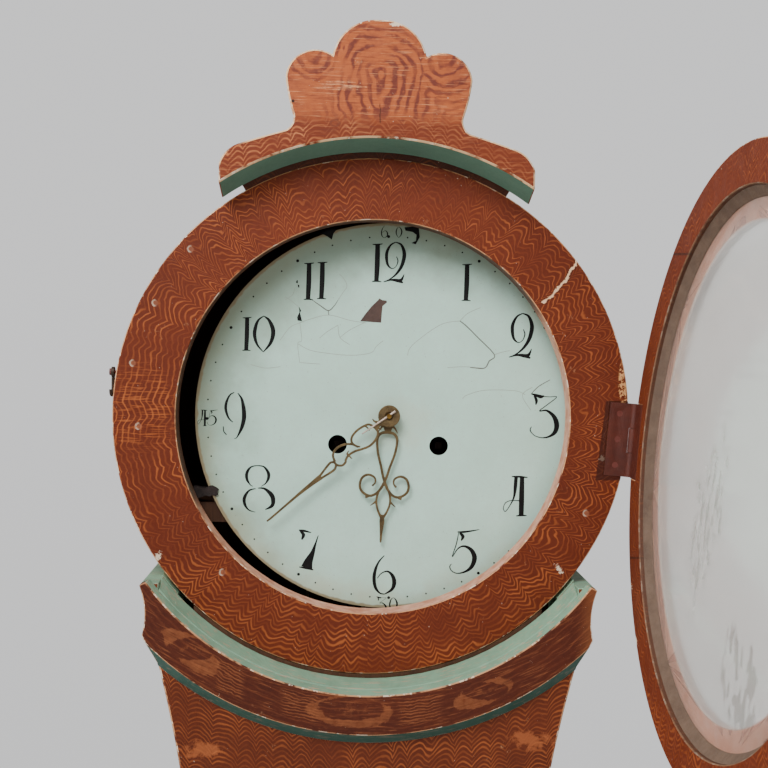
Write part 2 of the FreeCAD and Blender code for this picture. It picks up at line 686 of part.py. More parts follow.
def make_hood():
    ring = padded("hood_ring", "ring_board", at(0, ring_back, d.dial_height),
                  circles=[("ring_radius",), ("ring_radius - ring_width", (d.opening_offset, 0))])
    keep(ring, "hood_ring")
    outer = d.ring_radius - d.hoop_inset
    inner = outer - d.hoop_board
    depth = hoop_back - ring_back
    ends = [polar(radius, 90 + side * HOOP_HALF_ANGLE) for radius in (outer, inner) for side in (1, -1)]
    edges = [arc(ends[0], (0, outer), ends[1]), arc(ends[2], (0, inner), ends[3]),
             segment(ends[0], ends[2]), segment(ends[1], ends[3])]
    hoop = front_plate_of(edges, hoop_back, depth, hood)
    feature("hood_hoop", hoop)
    rib_in = inner - d.rib_width
    ends = [polar(radius, 90 + side * RIB_HALF_ANGLE) for radius in (inner, rib_in) for side in (1, -1)]
    edges = [arc(ends[0], (0, inner), ends[1]), arc(ends[2], (0, rib_in), ends[3]),
             segment(ends[0], ends[2]), segment(ends[1], ends[3])]
    rib = front_plate_of(edges, hoop_back, d.rib_board, hood)
    block_half = math.degrees(math.asin(d.crest_half_width * d.crest_block_share / d.ring_radius))
    top = d.ring_radius + d.crest_block_height
    corners = [polar(radius, 90 + side * block_half) for radius in (d.ring_radius, top) for side in (1, -1)]
    edges = [arc(corners[0], (0, d.ring_radius), corners[1]), arc(corners[2], (0, top), corners[3]),
             segment(corners[0], corners[2]), segment(corners[1], corners[3])]
    brace = front_plate_of(edges, ring_front + d.crest_block_depth, d.crest_block_depth, hood)
    feature("hood_braces", Part.makeCompound([rib, brace]))
    low = d.ring_radius + d.crest_gap
    crest = front_plate_of(crest_edges(low), ring_front, d.crest_out, hood)
    cone = about_hood([(0, ring_front), (low, ring_front), (low + d.crest_bevel, crest_front),
                       (0, crest_front)])
    feature("crest_board", crest.cut(cone).Solids[0])


# The glazed door, open as it stands. It is drawn shut and then swung about its hinge.

hinge_radial = V(math.cos(math.radians(HINGE_ANGLE)), 0, -math.sin(math.radians(HINGE_ANGLE)))
hinge_axis = V(math.sin(math.radians(HINGE_ANGLE)), 0, math.cos(math.radians(HINGE_ANGLE)))
hinge_centre = hood + hinge_radial * (d.ring_radius + d.hinge_out) + V(0, ring_front, 0)
leaf_turn = FreeCAD.Rotation(Y_AXIS, HINGE_ANGLE)
swing = FreeCAD.Placement(V(0, 0, 0), FreeCAD.Rotation(hinge_axis, BEZEL_ANGLE), hinge_centre)


def swung(shape):
    copy = shape.copy()
    copy.Placement = swing.multiply(copy.Placement)
    return copy


def at_hinge(shape):
    """A piece drawn with the hinge's axis upright at the origin, put in its place."""
    copy = shape.copy()
    copy.Placement = FreeCAD.Placement(hinge_centre, leaf_turn).multiply(copy.Placement)
    return copy


def hinge_leaf(depth_side, spans, others):
    """One leaf of the door's hinge, let into its board, with its own knuckles."""
    third = d.hinge_length / 3
    base = -d.hinge_length / 2
    near = -d.hinge_out - d.hinge_leaf
    y_low, y_high = sorted((0, depth_side * d.hinge_sheet))
    leaf = solid_box((near, y_low, base), (0, y_high, -base))
    gap = d.hinge_knuckle_gap / 2
    for start, end in others:
        leaf = leaf.cut(Part.makeCylinder(d.hinge_barrel + gap, (end - start) * third,
                                          V(0, 0, base + start * third)))
    knuckles = [Part.makeCylinder(d.hinge_barrel, (end - start) * third - 2 * gap,
                                  V(0, 0, base + start * third + gap)) for start, end in spans]
    return joined([leaf] + knuckles)


def make_bezel():
    inner = d.ring_radius - d.ring_width
    rebate = d.ring_radius - d.bezel_rebate_in
    back = ring_front
    front = ring_front - d.bezel_board
    lip = front + d.bezel_lip
    ring = about_hood([(inner, front), (d.ring_radius, front), (d.ring_radius, back), (rebate, back),
                       (rebate, lip), (inner, lip)])
    pocket = at_hinge(solid_box((-d.hinge_out - d.hinge_leaf, -d.hinge_sheet, -d.hinge_length / 2),
                                (0, 0, d.hinge_length / 2)))
    ring = ring.cut(pocket)
    feature("bezel_ring", swung(ring))
    glass_edge = rebate - d.glass_gap
    glass_back = lip + d.glass_sheet
    glass = Part.makeCylinder(glass_edge, d.glass_sheet, V(0, lip, d.dial_height), Y_AXIS)
    feature("bezel_glass", swung(glass))
    putty = about_hood([(rebate - d.putty_width, glass_back), (rebate, glass_back), (rebate, back)])
    feature("bezel_putty", swung(putty))
    gap = d.running_gap
    door_leaf = hinge_leaf(-1, ((1, 2),), ((0, 1), (2, 3)))
    pin_room = Part.makeCylinder(d.hinge_pin_radius + gap, d.hinge_length, V(0, 0, -d.hinge_length / 2))
    feature("bezel_hinge_leaf", swung(at_hinge(door_leaf.cut(pin_room))))
    ring_leaf = hinge_leaf(1, ((0, 1), (2, 3)), ((1, 2),))
    pin = Part.makeCylinder(d.hinge_pin_radius, d.hinge_length, V(0, 0, -d.hinge_length / 2))
    ring_leaf = ring_leaf.cut(pin)
    screw_x = -d.hinge_out - d.hinge_leaf / 2
    screws = []
    for share in (-0.35, 0, 0.35):
        level = share * d.hinge_length
        tip = (screw_x, d.hinge_screw_length, level)
        shank = rod((screw_x, d.hinge_screw_shank, level), tip, d.hinge_screw_shank)
        head = Part.makeCone(d.hinge_screw_radius, d.hinge_screw_shank,
                             d.hinge_screw_shank, V(screw_x, 0, level), Y_AXIS)
        screw = joined([head, shank])
        ring_leaf = ring_leaf.cut(screw)
        screws.append(screw)
    feature("ring_hinge_leaf", at_hinge(ring_leaf))
    feature("hinge_pin", at_hinge(pin))
    screws = [at_hinge(screw) for screw in screws]
    feature("ring_screws", Part.makeCompound(screws + [latch_stud()]))


def cut_hinge_room(ring):
    """The hinge leaf and its screws are let into the hood ring."""
    sunk = Part.makeCompound([at_hinge(solid_box((-d.hinge_out - d.hinge_leaf, 0, -d.hinge_length / 2),
                                                 (0, d.hinge_sheet, d.hinge_length / 2)))])
    tool = doc.addObject("Part::Feature", "hinge_room")
    tool.Shape = sunk
    cut = doc.addObject("Part::Cut", "hood_ring_cut")
    cut.Base = ring
    cut.Tool = tool
    return cut


LATCH_ANGLE = 171.0
LATCH_FLAT_SHARE = 0.8
latch_spot = polar(d.ring_radius + d.latch_out, LATCH_ANGLE)
latch_at = V(latch_spot[0], ring_front + d.latch_set_back, d.dial_height + latch_spot[1])


def latch_stud():
    """The stud in the ring's rim that the hook hangs on, with its head outside the hook."""
    head_in = latch_at.x - d.latch_wire - d.running_gap
    shank = rod((head_in, latch_at.y, latch_at.z),
                (head_in + d.latch_stud_length, latch_at.y, latch_at.z), d.latch_wire)
    head = rod((head_in - d.latch_wire, latch_at.y, latch_at.z), (head_in, latch_at.y, latch_at.z),
               d.latch_wire * 2)
    return joined([head, shank])


def make_latch():
    """A wire hook that hangs beside the ring's rim, and the nail in the door that it catches."""
    flat = d.latch_wire * LATCH_FLAT_SHARE
    eye = rod((latch_at.x - flat, latch_at.y, latch_at.z), (latch_at.x + flat, latch_at.y, latch_at.z),
              d.latch_eye)
    hole = rod((latch_at.x - d.latch_eye, latch_at.y, latch_at.z),
               (latch_at.x + d.latch_eye, latch_at.y, latch_at.z), d.latch_wire + d.running_gap)
    stem = rod((latch_at.x, latch_at.y, latch_at.z - d.latch_wire * 2),
               (latch_at.x, latch_at.y, latch_at.z - d.latch_length), d.latch_wire)
    bend_at = V(latch_at.x, latch_at.y - d.latch_bend, latch_at.z - d.latch_length)
    section = Part.makeCircle(d.latch_wire, V(bend_at.x, latch_at.y, bend_at.z), Z_AXIS)
    bend = Part.Face(Part.Wire([section])).revolve(bend_at, X_AXIS, -180)
    feature("latch_hook", joined([eye, stem, bend]).cut(hole))
    nail_y = latch_at.y - d.latch_length
    nail_z = latch_at.z + d.latch_bend
    inside = (latch_at.x + d.latch_stud_length, nail_y, nail_z)
    outside = (latch_at.x - d.latch_wire, nail_y, nail_z)
    feature("latch_nail", swung(rod(outside, inside, d.latch_wire)))


# Toothed wheels

def teeth_outline(teeth, module, phase, reach, centre):
    """Wheel outline: flat-topped narrow teeth with room between them."""
    radius = module * teeth / 2
    root = radius - module * 1.15
    tip = radius + module * reach
    pitch = 360 / teeth
    points = []
    for number in range(teeth):
        middle = phase + number * pitch
        for share, level in ((-0.28, root), (-0.1, tip), (0.1, tip), (0.28, root)):
            points.append(polar(level, middle + share * pitch, centre))
    return outline(points)


def wheel(centre, level, teeth, module, phase, thickness, reach=0.75, rim=None, spokes=0):
    """A toothed wheel drawn in X and Z about a centre, with its crossings."""
    origin = V(0, 0, d.dial_height)
    solid = front_plate_of(teeth_outline(teeth, module, phase, reach, centre), level + thickness,
                           thickness, origin)
    if spokes:
        rim_in = module * teeth / 2 - rim
        hub = rim + d.arbor
        for number in range(spokes):
            start = 360 / spokes * number
            gap_out = math.degrees(rim / 2 / rim_in)
            gap_in = math.degrees(rim / 2 / hub)
            a = polar(hub, start + gap_in, centre)
            b = polar(rim_in, start + gap_out, centre)
            c = polar(rim_in, start + 360 / spokes - gap_out, centre)
            e = polar(hub, start + 360 / spokes - gap_in, centre)
            outer = arc(b, polar(rim_in, start + 180 / spokes, centre), c)
            inner = arc(e, polar(hub, start + 180 / spokes, centre), a)
            window = front_plate_of([segment(a, b), outer, segment(c, e), inner], level + thickness * 2,
                                    thickness * 3, origin)
            solid = solid.cut(window)
    return solid


def along(centre, start, end, radius):
    """A bar along the depth of the movement at a place in X and Z."""
    return rod((centre[0], start, d.dial_height + centre[1]), (centre[0], end, d.dial_height + centre[1]),
               radius)


def arbor(centre):
    """An arbor between the plates, with its pivots in the plates' holes."""
    front = movement_front + d.pivot_shoulder
    back = movement_back - d.pivot_shoulder
    return [along(centre, front, back, d.arbor),
            along(centre, plate_front, movement_back + d.plate_sheet, d.pivot)]


def bearing(start, end):
    return math.degrees(math.atan2(end[1] - start[1], end[0] - start[0]))


def facing(teeth):
    """Half a tooth's turn, which puts a gap where a tooth would be."""
    return 180 / teeth


# Places of the arbors in the movement, in X and in Z from the hands' centre
centre_at = (movement_x, 0)
going_at = (movement_x + d.winding_apart / 2, -d.winding_drop)
strike_at = (movement_x - d.winding_apart / 2, -d.winding_drop)
great_distance = math.hypot(d.winding_apart / 2, d.winding_drop)
great_module = 2 * great_distance / (GOING_GREAT_TEETH + PINION_LEAVES)
escape_at = (movement_x, d.escape_height)
anchor_at = (movement_x, d.anchor_height)
CENTRE_MODULE_SHARE = 0.877
THIRD_MODULE_SHARE = 0.78
centre_module = great_module * CENTRE_MODULE_SHARE
third_module = great_module * THIRD_MODULE_SHARE
centre_to_third = centre_module * (CENTRE_TEETH + PINION_LEAVES) / 2
third_to_escape = third_module * (THIRD_TEETH + PINION_LEAVES) / 2


def third_place():
    """Where the third arbor stands: in reach of the centre wheel and of the escape pinion."""
    gap = d.escape_height
    up = (centre_to_third ** 2 - third_to_escape ** 2 + gap ** 2) / (2 * gap)
    out = math.sqrt(centre_to_third ** 2 - up ** 2)
    return (movement_x + out, up)


third_at = third_place()
pin_distance = great_module * (STRIKE_GREAT_TEETH + PINION_LEAVES) / 2
PIN_WHEEL_BEARING = 95.0
pin_at = polar(pin_distance, PIN_WHEEL_BEARING, strike_at)
fly_distance = third_module * (PIN_WHEEL_TEETH + PINION_LEAVES) / 2
FLY_BEARING = 72.0
fly_at = polar(fly_distance, FLY_BEARING, pin_at)
HAMMER_SHARES = (-0.89, 0.36)
hammer_at = (movement_x + HAMMER_SHARES[0] * d.plate_width / 2, HAMMER_SHARES[1] * d.plate_head)

# Levels of the wheels, counted back from the front plate in wheel thicknesses
sheet_step = d.wheel_sheet
drum_front = movement_front + d.pivot_shoulder * 10
drum_y = drum_front + d.drum_length / 2
strike_great_y = drum_front + d.drum_length + d.flange_sheet
going_great_y = strike_great_y + sheet_step * 2
pin_wheel_y = going_great_y + sheet_step * 0.5
centre_wheel_y = movement_back - sheet_step * 1.7
escape_y = going_great_y
third_y = movement_front + sheet_step * 8

pinion_module_reach = 0.55


def make_going_train():
    phase = bearing(going_at, centre_at)
    great = wheel(going_at, going_great_y, GOING_GREAT_TEETH, great_module, phase, sheet_step,
                  rim=d.pillar_radius, spokes=4)
    room = along(going_at, going_great_y - sheet_step, going_great_y + sheet_step * 2,
                 d.winding_arbor + d.running_gap)
    feature("going_great_wheel", great.cut(room))
    pinion_front = going_great_y - sheet_step / 2
    pinion = wheel(centre_at, pinion_front, PINION_LEAVES, great_module,
                   phase + 180 + facing(PINION_LEAVES), centre_wheel_y - pinion_front, pinion_module_reach)
    phase = bearing(centre_at, third_at)
    centre = wheel(centre_at, centre_wheel_y, CENTRE_TEETH, centre_module, phase, sheet_step,
                   rim=d.pillar_radius, spokes=4)
    nose = along(centre_at, plate_front - d.dial_foot_length, plate_front, d.arbor - d.pivot_shoulder)
    nose = nose.fuse(along(centre_at, minute_front - d.hand_sheet * 3, plate_front - d.pivot_shoulder,
                           d.arbor - d.pivot_shoulder))
    feature("centre_wheel", joined([pinion, centre, nose] + arbor(centre_at)))
    pinion = wheel(third_at, centre_wheel_y - sheet_step / 2, PINION_LEAVES, centre_module,
                   phase + 180 + facing(PINION_LEAVES), sheet_step * 1.9, pinion_module_reach)
    phase = bearing(third_at, escape_at)
    third = wheel(third_at, third_y, THIRD_TEETH, third_module, phase, sheet_step, rim=d.pillar_radius * 0.8,
                  spokes=4)
    feature("third_wheel", joined([pinion, third] + arbor(third_at)))
    pinion = wheel(escape_at, third_y - sheet_step, PINION_LEAVES, third_module,
                   phase + 180 + facing(PINION_LEAVES), sheet_step * 3, pinion_module_reach)
    feature("escape_wheel", joined([escape_disc(), pinion] + arbor(escape_at)))


def escape_disc():
    """Pointed teeth; each pallet stands a quarter of a pitch from the nearest tooth."""
    pitch = 360 / ESCAPE_TEETH
    root = d.escape_radius * 0.82
    start = PALLET_ANGLE + pitch / 4
    points = []
    for number in range(ESCAPE_TEETH):
        middle = start + number * pitch
        for share, level in ((-0.2, root), (-0.03, d.escape_radius), (0.03, d.escape_radius), (0.2, root)):
            points.append(polar(level, middle + share * pitch, escape_at))
    return front_plate_of(outline(points), escape_y + sheet_step, sheet_step, hood)


def make_drum(name, place):
    body = along(place, drum_front, drum_front + d.drum_length, d.drum_radius)
    flanges = [along(place, drum_front, drum_front + d.flange_sheet, d.drum_flange),
               along(place, drum_front + d.drum_length - d.flange_sheet, drum_front + d.drum_length,
                     d.drum_flange)]
    front = plate_front - d.pivot_shoulder
    stem = along(place, front, movement_back - d.pivot_shoulder, d.winding_arbor)
    pivot = along(place, movement_back - d.pivot_shoulder, movement_back + d.plate_sheet, d.pivot)
    half = d.winding_square / 2
    square = solid_box((place[0] - half, dial_back + d.dial_sheet, d.dial_height + place[1] - half),
                       (place[0] + half, front, d.dial_height + place[1] + half))
    feature(name, joined([body, stem, pivot, square] + flanges))


def make_strike_train():
    phase = bearing(strike_at, pin_at)
    great = wheel(strike_at, strike_great_y, STRIKE_GREAT_TEETH, great_module, phase, sheet_step,
                  rim=d.pillar_radius, spokes=4)
    room = along(strike_at, strike_great_y - sheet_step, strike_great_y + sheet_step * 2,
                 d.winding_arbor + d.running_gap)
    feature("strike_great_wheel", great.cut(room))
    pinion = wheel(pin_at, strike_great_y - sheet_step / 2, PINION_LEAVES, great_module,
                   phase + 180 + facing(PINION_LEAVES), pin_wheel_y - strike_great_y + sheet_step / 2,
                   pinion_module_reach)
    phase = bearing(pin_at, fly_at)
    disc = wheel(pin_at, pin_wheel_y, PIN_WHEEL_TEETH, third_module, phase, sheet_step,
                 rim=d.pillar_radius * 1.6)
    pin_circle = third_module * PIN_WHEEL_TEETH / 2 * 0.8
    pins = []
    for number in range(HAMMER_PINS):
        spot = polar(pin_circle, 360 / HAMMER_PINS * number + FLY_BEARING, pin_at)
        pins.append(along(spot, pin_wheel_y + sheet_step, pin_wheel_y + sheet_step * 2, d.pivot * 0.7))
    feature("pin_wheel", joined([pinion, disc] + arbor(pin_at) + pins))
    pinion = wheel(fly_at, pin_wheel_y - sheet_step * 0.25, PINION_LEAVES, third_module,
                   phase + 180 + facing(PINION_LEAVES), sheet_step * 1.6, pinion_module_reach)
    vane_half = d.escape_radius * 0.9
    vane = solid_box((fly_at[0] - vane_half, third_y - sheet_step * 3, d.dial_height + fly_at[1] - d.pivot / 2),
                     (fly_at[0] + vane_half, third_y + sheet_step * 2, d.dial_height + fly_at[1] + d.pivot / 2))
    feature("fly", joined([pinion, vane] + arbor(fly_at)))


def make_hammer():
    """Hammer arm, head and tail on one arbor; the tail hangs just clear of the pins."""
    head_level = d.bell_top - d.bell_radius + d.bell_wall * 2
    head_x = movement_x - d.bell_radius - d.pillar_radius * 2
    head = V(head_x, movement_y, d.dial_height + head_level)
    base = V(hammer_at[0], movement_y, d.dial_height + hammer_at[1])
    arm = rod(base, head, d.pivot)
    knob = rod((head.x - d.pillar_radius, head.y, head.z), (head.x + d.pillar_radius, head.y, head.z),
               d.pillar_radius * 1.2)
    pin_circle = third_module * PIN_WHEEL_TEETH / 2 * 0.8
    tip = polar(pin_circle + d.pivot * 2.4, bearing(pin_at, hammer_at), pin_at)
    tail_y = pin_wheel_y + sheet_step * 1.5
    tail = rod((hammer_at[0], tail_y, d.dial_height + hammer_at[1]), (tip[0], tail_y, d.dial_height + tip[1]),
               d.pivot * 0.7)
    feature("hammer", joined([arm, knob, tail] + arbor(hammer_at)))


# Motion work behind the dial

minute_front = dial_front - d.minute_set_out
hour_front = dial_front - d.hour_set_out
CANNON_MODULE_SHARE = 0.78
cannon_module = great_module * CANNON_MODULE_SHARE
minute_wheel_distance = cannon_module * CANNON_TEETH
hour_module = 2 * minute_wheel_distance / (HOUR_TEETH + MINUTE_PINION_LEAVES)
MINUTE_WHEEL_BEARING = -60.0
minute_wheel_at = polar(minute_wheel_distance, MINUTE_WHEEL_BEARING, centre_at)
cannon_y = plate_front - sheet_step * 2
hour_wheel_y = cannon_y - sheet_step * 1.6


def make_motion_work():
    bore = d.arbor - d.pivot_shoulder + d.running_gap
    phase = bearing(centre_at, minute_wheel_at)
    cannon = wheel(centre_at, cannon_y, CANNON_TEETH, cannon_module, phase, sheet_step, 0.6)
    pipe = along(centre_at, minute_front, cannon_y, d.minute_pipe)
    collar = along(centre_at, cannon_y + sheet_step, plate_front - d.pivot_shoulder, d.minute_pipe)
    cannon = joined([cannon, pipe, collar])
    feature("cannon_pinion", cannon.cut(along(centre_at, minute_front - d.arbor, plate_front, bore)))
    follower = wheel(minute_wheel_at, cannon_y, CANNON_TEETH, cannon_module,
                     phase + 180 + facing(CANNON_TEETH), sheet_step, 0.6)
    pinion = wheel(minute_wheel_at, hour_wheel_y - sheet_step * 0.4, MINUTE_PINION_LEAVES, hour_module,
                   phase + 180 + facing(MINUTE_PINION_LEAVES), sheet_step * 2, 0.5)
    stud_room = along(minute_wheel_at, hour_wheel_y - sheet_step * 3, plate_front, stud_radius + d.running_gap)
    feature("minute_wheel", joined([follower, pinion]).cut(stud_room))
    hour = wheel(centre_at, hour_wheel_y, HOUR_TEETH, hour_module, phase, sheet_step * 0.8, 0.6)
    pipe = along(centre_at, hour_front, hour_wheel_y, d.hour_pipe)
    room = along(centre_at, hour_front - d.arbor, plate_front, d.minute_pipe + d.running_gap)
    feature("hour_wheel", joined([hour, pipe]).cut(room))


stud_radius = d.pivot * 0.5


# Hands: flat pierced plates drawn pointing up, then turned to their place

def bar(start, end, width_start, width_end):
    """A flat tapered bar between two points."""
    along_x = end[0] - start[0]
    along_y = end[1] - start[1]
    length = math.hypot(along_x, along_y)
    side = (-along_y / length / 2, along_x / length / 2)
    points = [(start[0] + side[0] * width_start, start[1] + side[1] * width_start),
              (start[0] - side[0] * width_start, start[1] - side[1] * width_start),
              (end[0] - side[0] * width_end, end[1] - side[1] * width_end),
              (end[0] + side[0] * width_end, end[1] + side[1] * width_end)]
    return front_plate_of(outline(points), 0, d.hand_sheet)


def loop(centre, half_width, half_height, wire):
    """A flat oval ring."""
    upright = half_height >= half_width
    shapes = []
    for trim in (0, wire):
        long_half = max(half_width, half_height) - trim
        short_half = min(half_width, half_height) - trim
        if long_half - short_half < wire / 100:
            curve = Part.Circle(V(0, 0, 0), Z_AXIS, long_half)
        else:
            curve = Part.Ellipse(V(0, 0, 0), long_half, short_half)
        face = Part.Face(Part.Wire([curve.toShape()]))
        if upright:
            face.rotate(V(0, 0, 0), Z_AXIS, 90)
        face.translate(V(centre[0], centre[1], 0))
        face.rotate(V(0, 0, 0), X_AXIS, 90)
        shapes.append(face.extrude(V(0, -d.hand_sheet, 0)))
    return shapes[0].cut(shapes[1])


def scroll(centre, radius, wire, start, sweep):
    """A flat curl: part of a round ring."""
    outer = [polar(radius, start + sweep * share, centre) for share in (0, 0.5, 1)]
    inner = [polar(radius - wire, start + sweep * share, centre) for share in (0, 0.5, 1)]
    edges = [arc(*outer), arc(*inner), segment(outer[0], inner[0]), segment(outer[2], inner[2])]
    return front_plate_of(edges, 0, d.hand_sheet)


def hub(radius, hole):
    disc = Part.makeCylinder(radius, d.hand_sheet, V(0, 0, 0), V(0, -1, 0))
    return disc, Part.makeCylinder(hole, d.hand_sheet * 3, V(0, d.hand_sheet, 0), V(0, -1, 0))


def make_hour_hand():
    reach = d.hour_length
    wire = d.hand_wire
    disc, hole = hub(d.hour_hub, d.hour_pipe)
    pieces = [disc, bar((0, reach * 0.06), (0, reach * 0.15), wire * 2.2, wire * 1.6)]
    pieces.append(loop((0, reach * 0.3), reach * 0.077, reach * 0.165, wire))
    for side in (1, -1):
        curl = (side * reach * 0.128, reach * 0.55)
        radius = reach * 0.075
        pieces.append(bar((side * reach * 0.02, reach * 0.45), (-side * reach * 0.02, reach * 0.53), wire, wire))
        pieces.append(scroll(curl, radius, wire, 90 + side * 90, -side * 235))
        pieces.append(scroll(curl, radius, wire, 90 + side * 90, side * 40))
        pieces.append(bar((side * reach * 0.015, reach * 0.52), (side * reach * 0.06, reach * 0.56), wire, wire))
        pieces.append(bar((side * reach * 0.005, reach * 0.52), (side * reach * 0.052, reach * 0.69), wire, wire))
        pieces.append(bar((side * reach * 0.052, reach * 0.68), (0, reach * 0.83), wire, wire))
    pieces.append(bar((0, reach * 0.8), (0, reach), wire * 1.9, wire * 0.35))
    solid = joined(pieces).cut(hole)
    place = at(movement_x, hour_front, d.dial_height, Y_AXIS, -HOUR_HAND_ANGLE)
    feature("hour_hand", solid.Solids[0] if len(solid.Solids) == 1 else solid, place)


def make_minute_hand():
    reach = d.minute_length
    wire = d.hand_wire
    disc, hole = hub(d.minute_hub, d.arbor - d.pivot_shoulder + d.running_gap)
    pieces = [disc, bar((0, reach * 0.045), (0, reach * 0.115), wire * 2, wire * 1.5)]
    pieces.append(loop((0, reach * 0.195), reach * 0.058, reach * 0.098, wire))
    for side in (1, -1):
        curl = (side * reach * 0.06, reach * 0.325)
        pieces.append(scroll(curl, reach * 0.032, wire * 0.8, 90 + side * 90, side * 300))
        pieces.append(bar((-side * reach * 0.012, reach * 0.28), (side * reach * 0.035, reach * 0.32), wire, wire))
        pieces.append(bar((side * reach * 0.035, reach * 0.325), (0, reach * 0.36), wire, wire))
    pieces.append(loop((0, reach * 0.405), reach * 0.047, reach * 0.052, wire))
    pieces.append(bar((0, reach * 0.45), (0, reach), wire * 1.9, wire * 0.35))
    solid = joined(pieces).cut(hole)
    place = at(movement_x, minute_front, d.dial_height, Y_AXIS, -MINUTE_HAND_ANGLE)
    feature("minute_hand", solid.Solids[0] if len(solid.Solids) == 1 else solid, place)


# Frame of the movement, dial, bell and pendulum

def make_frame():
    half = d.plate_width / 2
    edges = outline([(-half, -d.plate_foot), (half, -d.plate_foot), (half, d.plate_head),
                     (-half, d.plate_head)])
    pivots = [centre_at, third_at, escape_at, anchor_at, pin_at, fly_at, hammer_at]
    holes = [("pivot + running_gap", (x - movement_x, z)) for x, z in pivots]
    arbors = [(x - movement_x, z) for x, z in (going_at, strike_at)]
    front_holes = holes + [("winding_arbor + running_gap", place) for place in arbors]
    back_holes = holes + [("pivot + running_gap", place) for place in arbors]
    origin = at(movement_x, movement_front, d.dial_height)
    front = padded("front_plate", "plate_sheet", origin, edges, front_holes)
    stud = feature_tool("minute_stud", along(minute_wheel_at, hour_wheel_y - sheet_step, plate_front,
                                             stud_radius))
    front_plate = doc.addObject("Part::Fuse", "front_plate_with_stud")
    front_plate.Base = front
    front_plate.Tool = stud
    front.Label = "front_plate_blank"
    keep(front_plate, "front_plate")
    origin = at(movement_x, movement_back + d.plate_sheet, d.dial_height)
    keep(padded("back_plate", "plate_sheet", origin, edges, back_holes), "back_plate")
    across = half - d.pillar_inset
    levels = (d.pillar_inset - d.plate_foot, d.plate_head - d.pillar_inset)
    rods = [along((movement_x + side * across, level), movement_front, movement_back, d.pillar_radius)
            for side in (1, -1) for level in levels]
    feet = [along((movement_x + side * across, level), dial_back, plate_front, d.dial_foot_radius)
            for side in (1, -1) for level in levels]
    feature("pillars", Part.makeCompound(rods + feet))


def feature_tool(name, shape):
    item = doc.addObject("Part::Feature", name)
    item.Shape = shape
    return item


def make_dial():
    holes = [("ring_radius - ring_width + dial_lap",), ("dial_bore", (0, d.dial_drop))]
    for side in (1, -1):
        holes.append(("winding_hole", (side * d.winding_apart / 2, d.dial_drop - d.winding_drop)))
    keep(padded("dial", "dial_sheet", at(movement_x, dial_back, d.dial_height - d.dial_drop), circles=holes),
         "dial")
    spot = polar(dial_radius, 204, (movement_x, -d.dial_drop))
    width = d.dial_clip_width
    sheet_front = dial_front - d.dial_sheet
    clip = solid_box((spot[0] - width * 0.3, sheet_front, d.dial_height + spot[1] - width / 2),
                     (spot[0] + width * 0.7, dial_front, d.dial_height + spot[1] + width / 2))
    feature("dial_clip", clip)


def make_pendulum():
    """Anchor with its crutch, and the pendulum that hangs from the cock on the same axis."""
    place = V(movement_x, 0, d.dial_height)
    reach = d.escape_radius + d.pallet_gap
    nib = d.pivot * 0.35
    tips = [polar(reach + nib, 90 + side * PALLET_ANGLE, (0, d.escape_height)) for side in (1, -1)]
    pieces = []
    for tip in tips:
        side = math.copysign(1, tip[0])
        shoulder = (tip[0] + side * d.arbor * 0.7, tip[1] + d.arbor * 2.2)
        for start, end in ((tip, shoulder), (shoulder, (0, d.anchor_height + d.arbor * 0.6))):
            pieces.append(rod((movement_x + start[0], escape_y + sheet_step / 2, d.dial_height + start[1]),
                              (movement_x + end[0], escape_y + sheet_step / 2, d.dial_height + end[1]),
                              nib if start is tip else d.pivot))
    front = movement_front + d.pivot_shoulder
    pieces.append(along(anchor_at, front, movement_back - d.pivot_shoulder, d.arbor))
    pieces.append(along(anchor_at, plate_front, pendulum_y - d.pendulum_rod * 2, d.pivot))
    crutch_y = pendulum_y - d.pendulum_rod * 2.4
    foot = d.dial_height + d.anchor_height - d.crutch_length
    pieces.append(rod((movement_x, crutch_y, d.dial_height + d.anchor_height), (movement_x, crutch_y, foot),
                      d.pivot))
    for side in (1, -1):
        x = movement_x + side * (d.pendulum_rod + d.pivot + d.running_gap)
        pieces.append(rod((x, crutch_y, foot), (x, pendulum_y + d.pendulum_rod, foot), d.pivot))
    pieces.append(rod((movement_x - d.pendulum_rod * 2, crutch_y, foot),
                      (movement_x + d.pendulum_rod * 2, crutch_y, foot), d.pivot))
    feature("anchor", joined(pieces))
    top = d.dial_height + d.anchor_height
    bob_z = top - d.pendulum_length
    spring_half = d.pendulum_rod * 1.6
    spring = solid_box((movement_x - spring_half, pendulum_y - d.pivot_shoulder / 2, top - d.pillar_radius * 5),
                       (movement_x + spring_half, pendulum_y + d.pivot_shoulder / 2, top - d.pivot_shoulder / 2))
    stem = rod((movement_x, pendulum_y, top - d.pillar_radius * 5),
               (movement_x, pendulum_y, bob_z + d.bob_radius), d.pendulum_rod)
    tail = rod((movement_x, pendulum_y, bob_z - d.bob_radius),
               (movement_x, pendulum_y, bob_z - d.bob_radius - d.pillar_radius * 6), d.pendulum_rod)
    feature("pendulum_rod", Part.makeCompound([joined([spring, stem]), tail]))
    edge = d.bob_thickness * 0.12
    bob = turned("pendulum_bob", [(0, -d.bob_thickness / 2), (d.bob_radius * 0.55, -d.bob_thickness * 0.4),
                                  (d.bob_radius, -edge), (d.bob_radius, edge),
                                  (d.bob_radius * 0.55, d.bob_thickness * 0.4), (0, d.bob_thickness / 2)],
                 at(movement_x, pendulum_y, bob_z))
    keep(bob, "pendulum_bob")


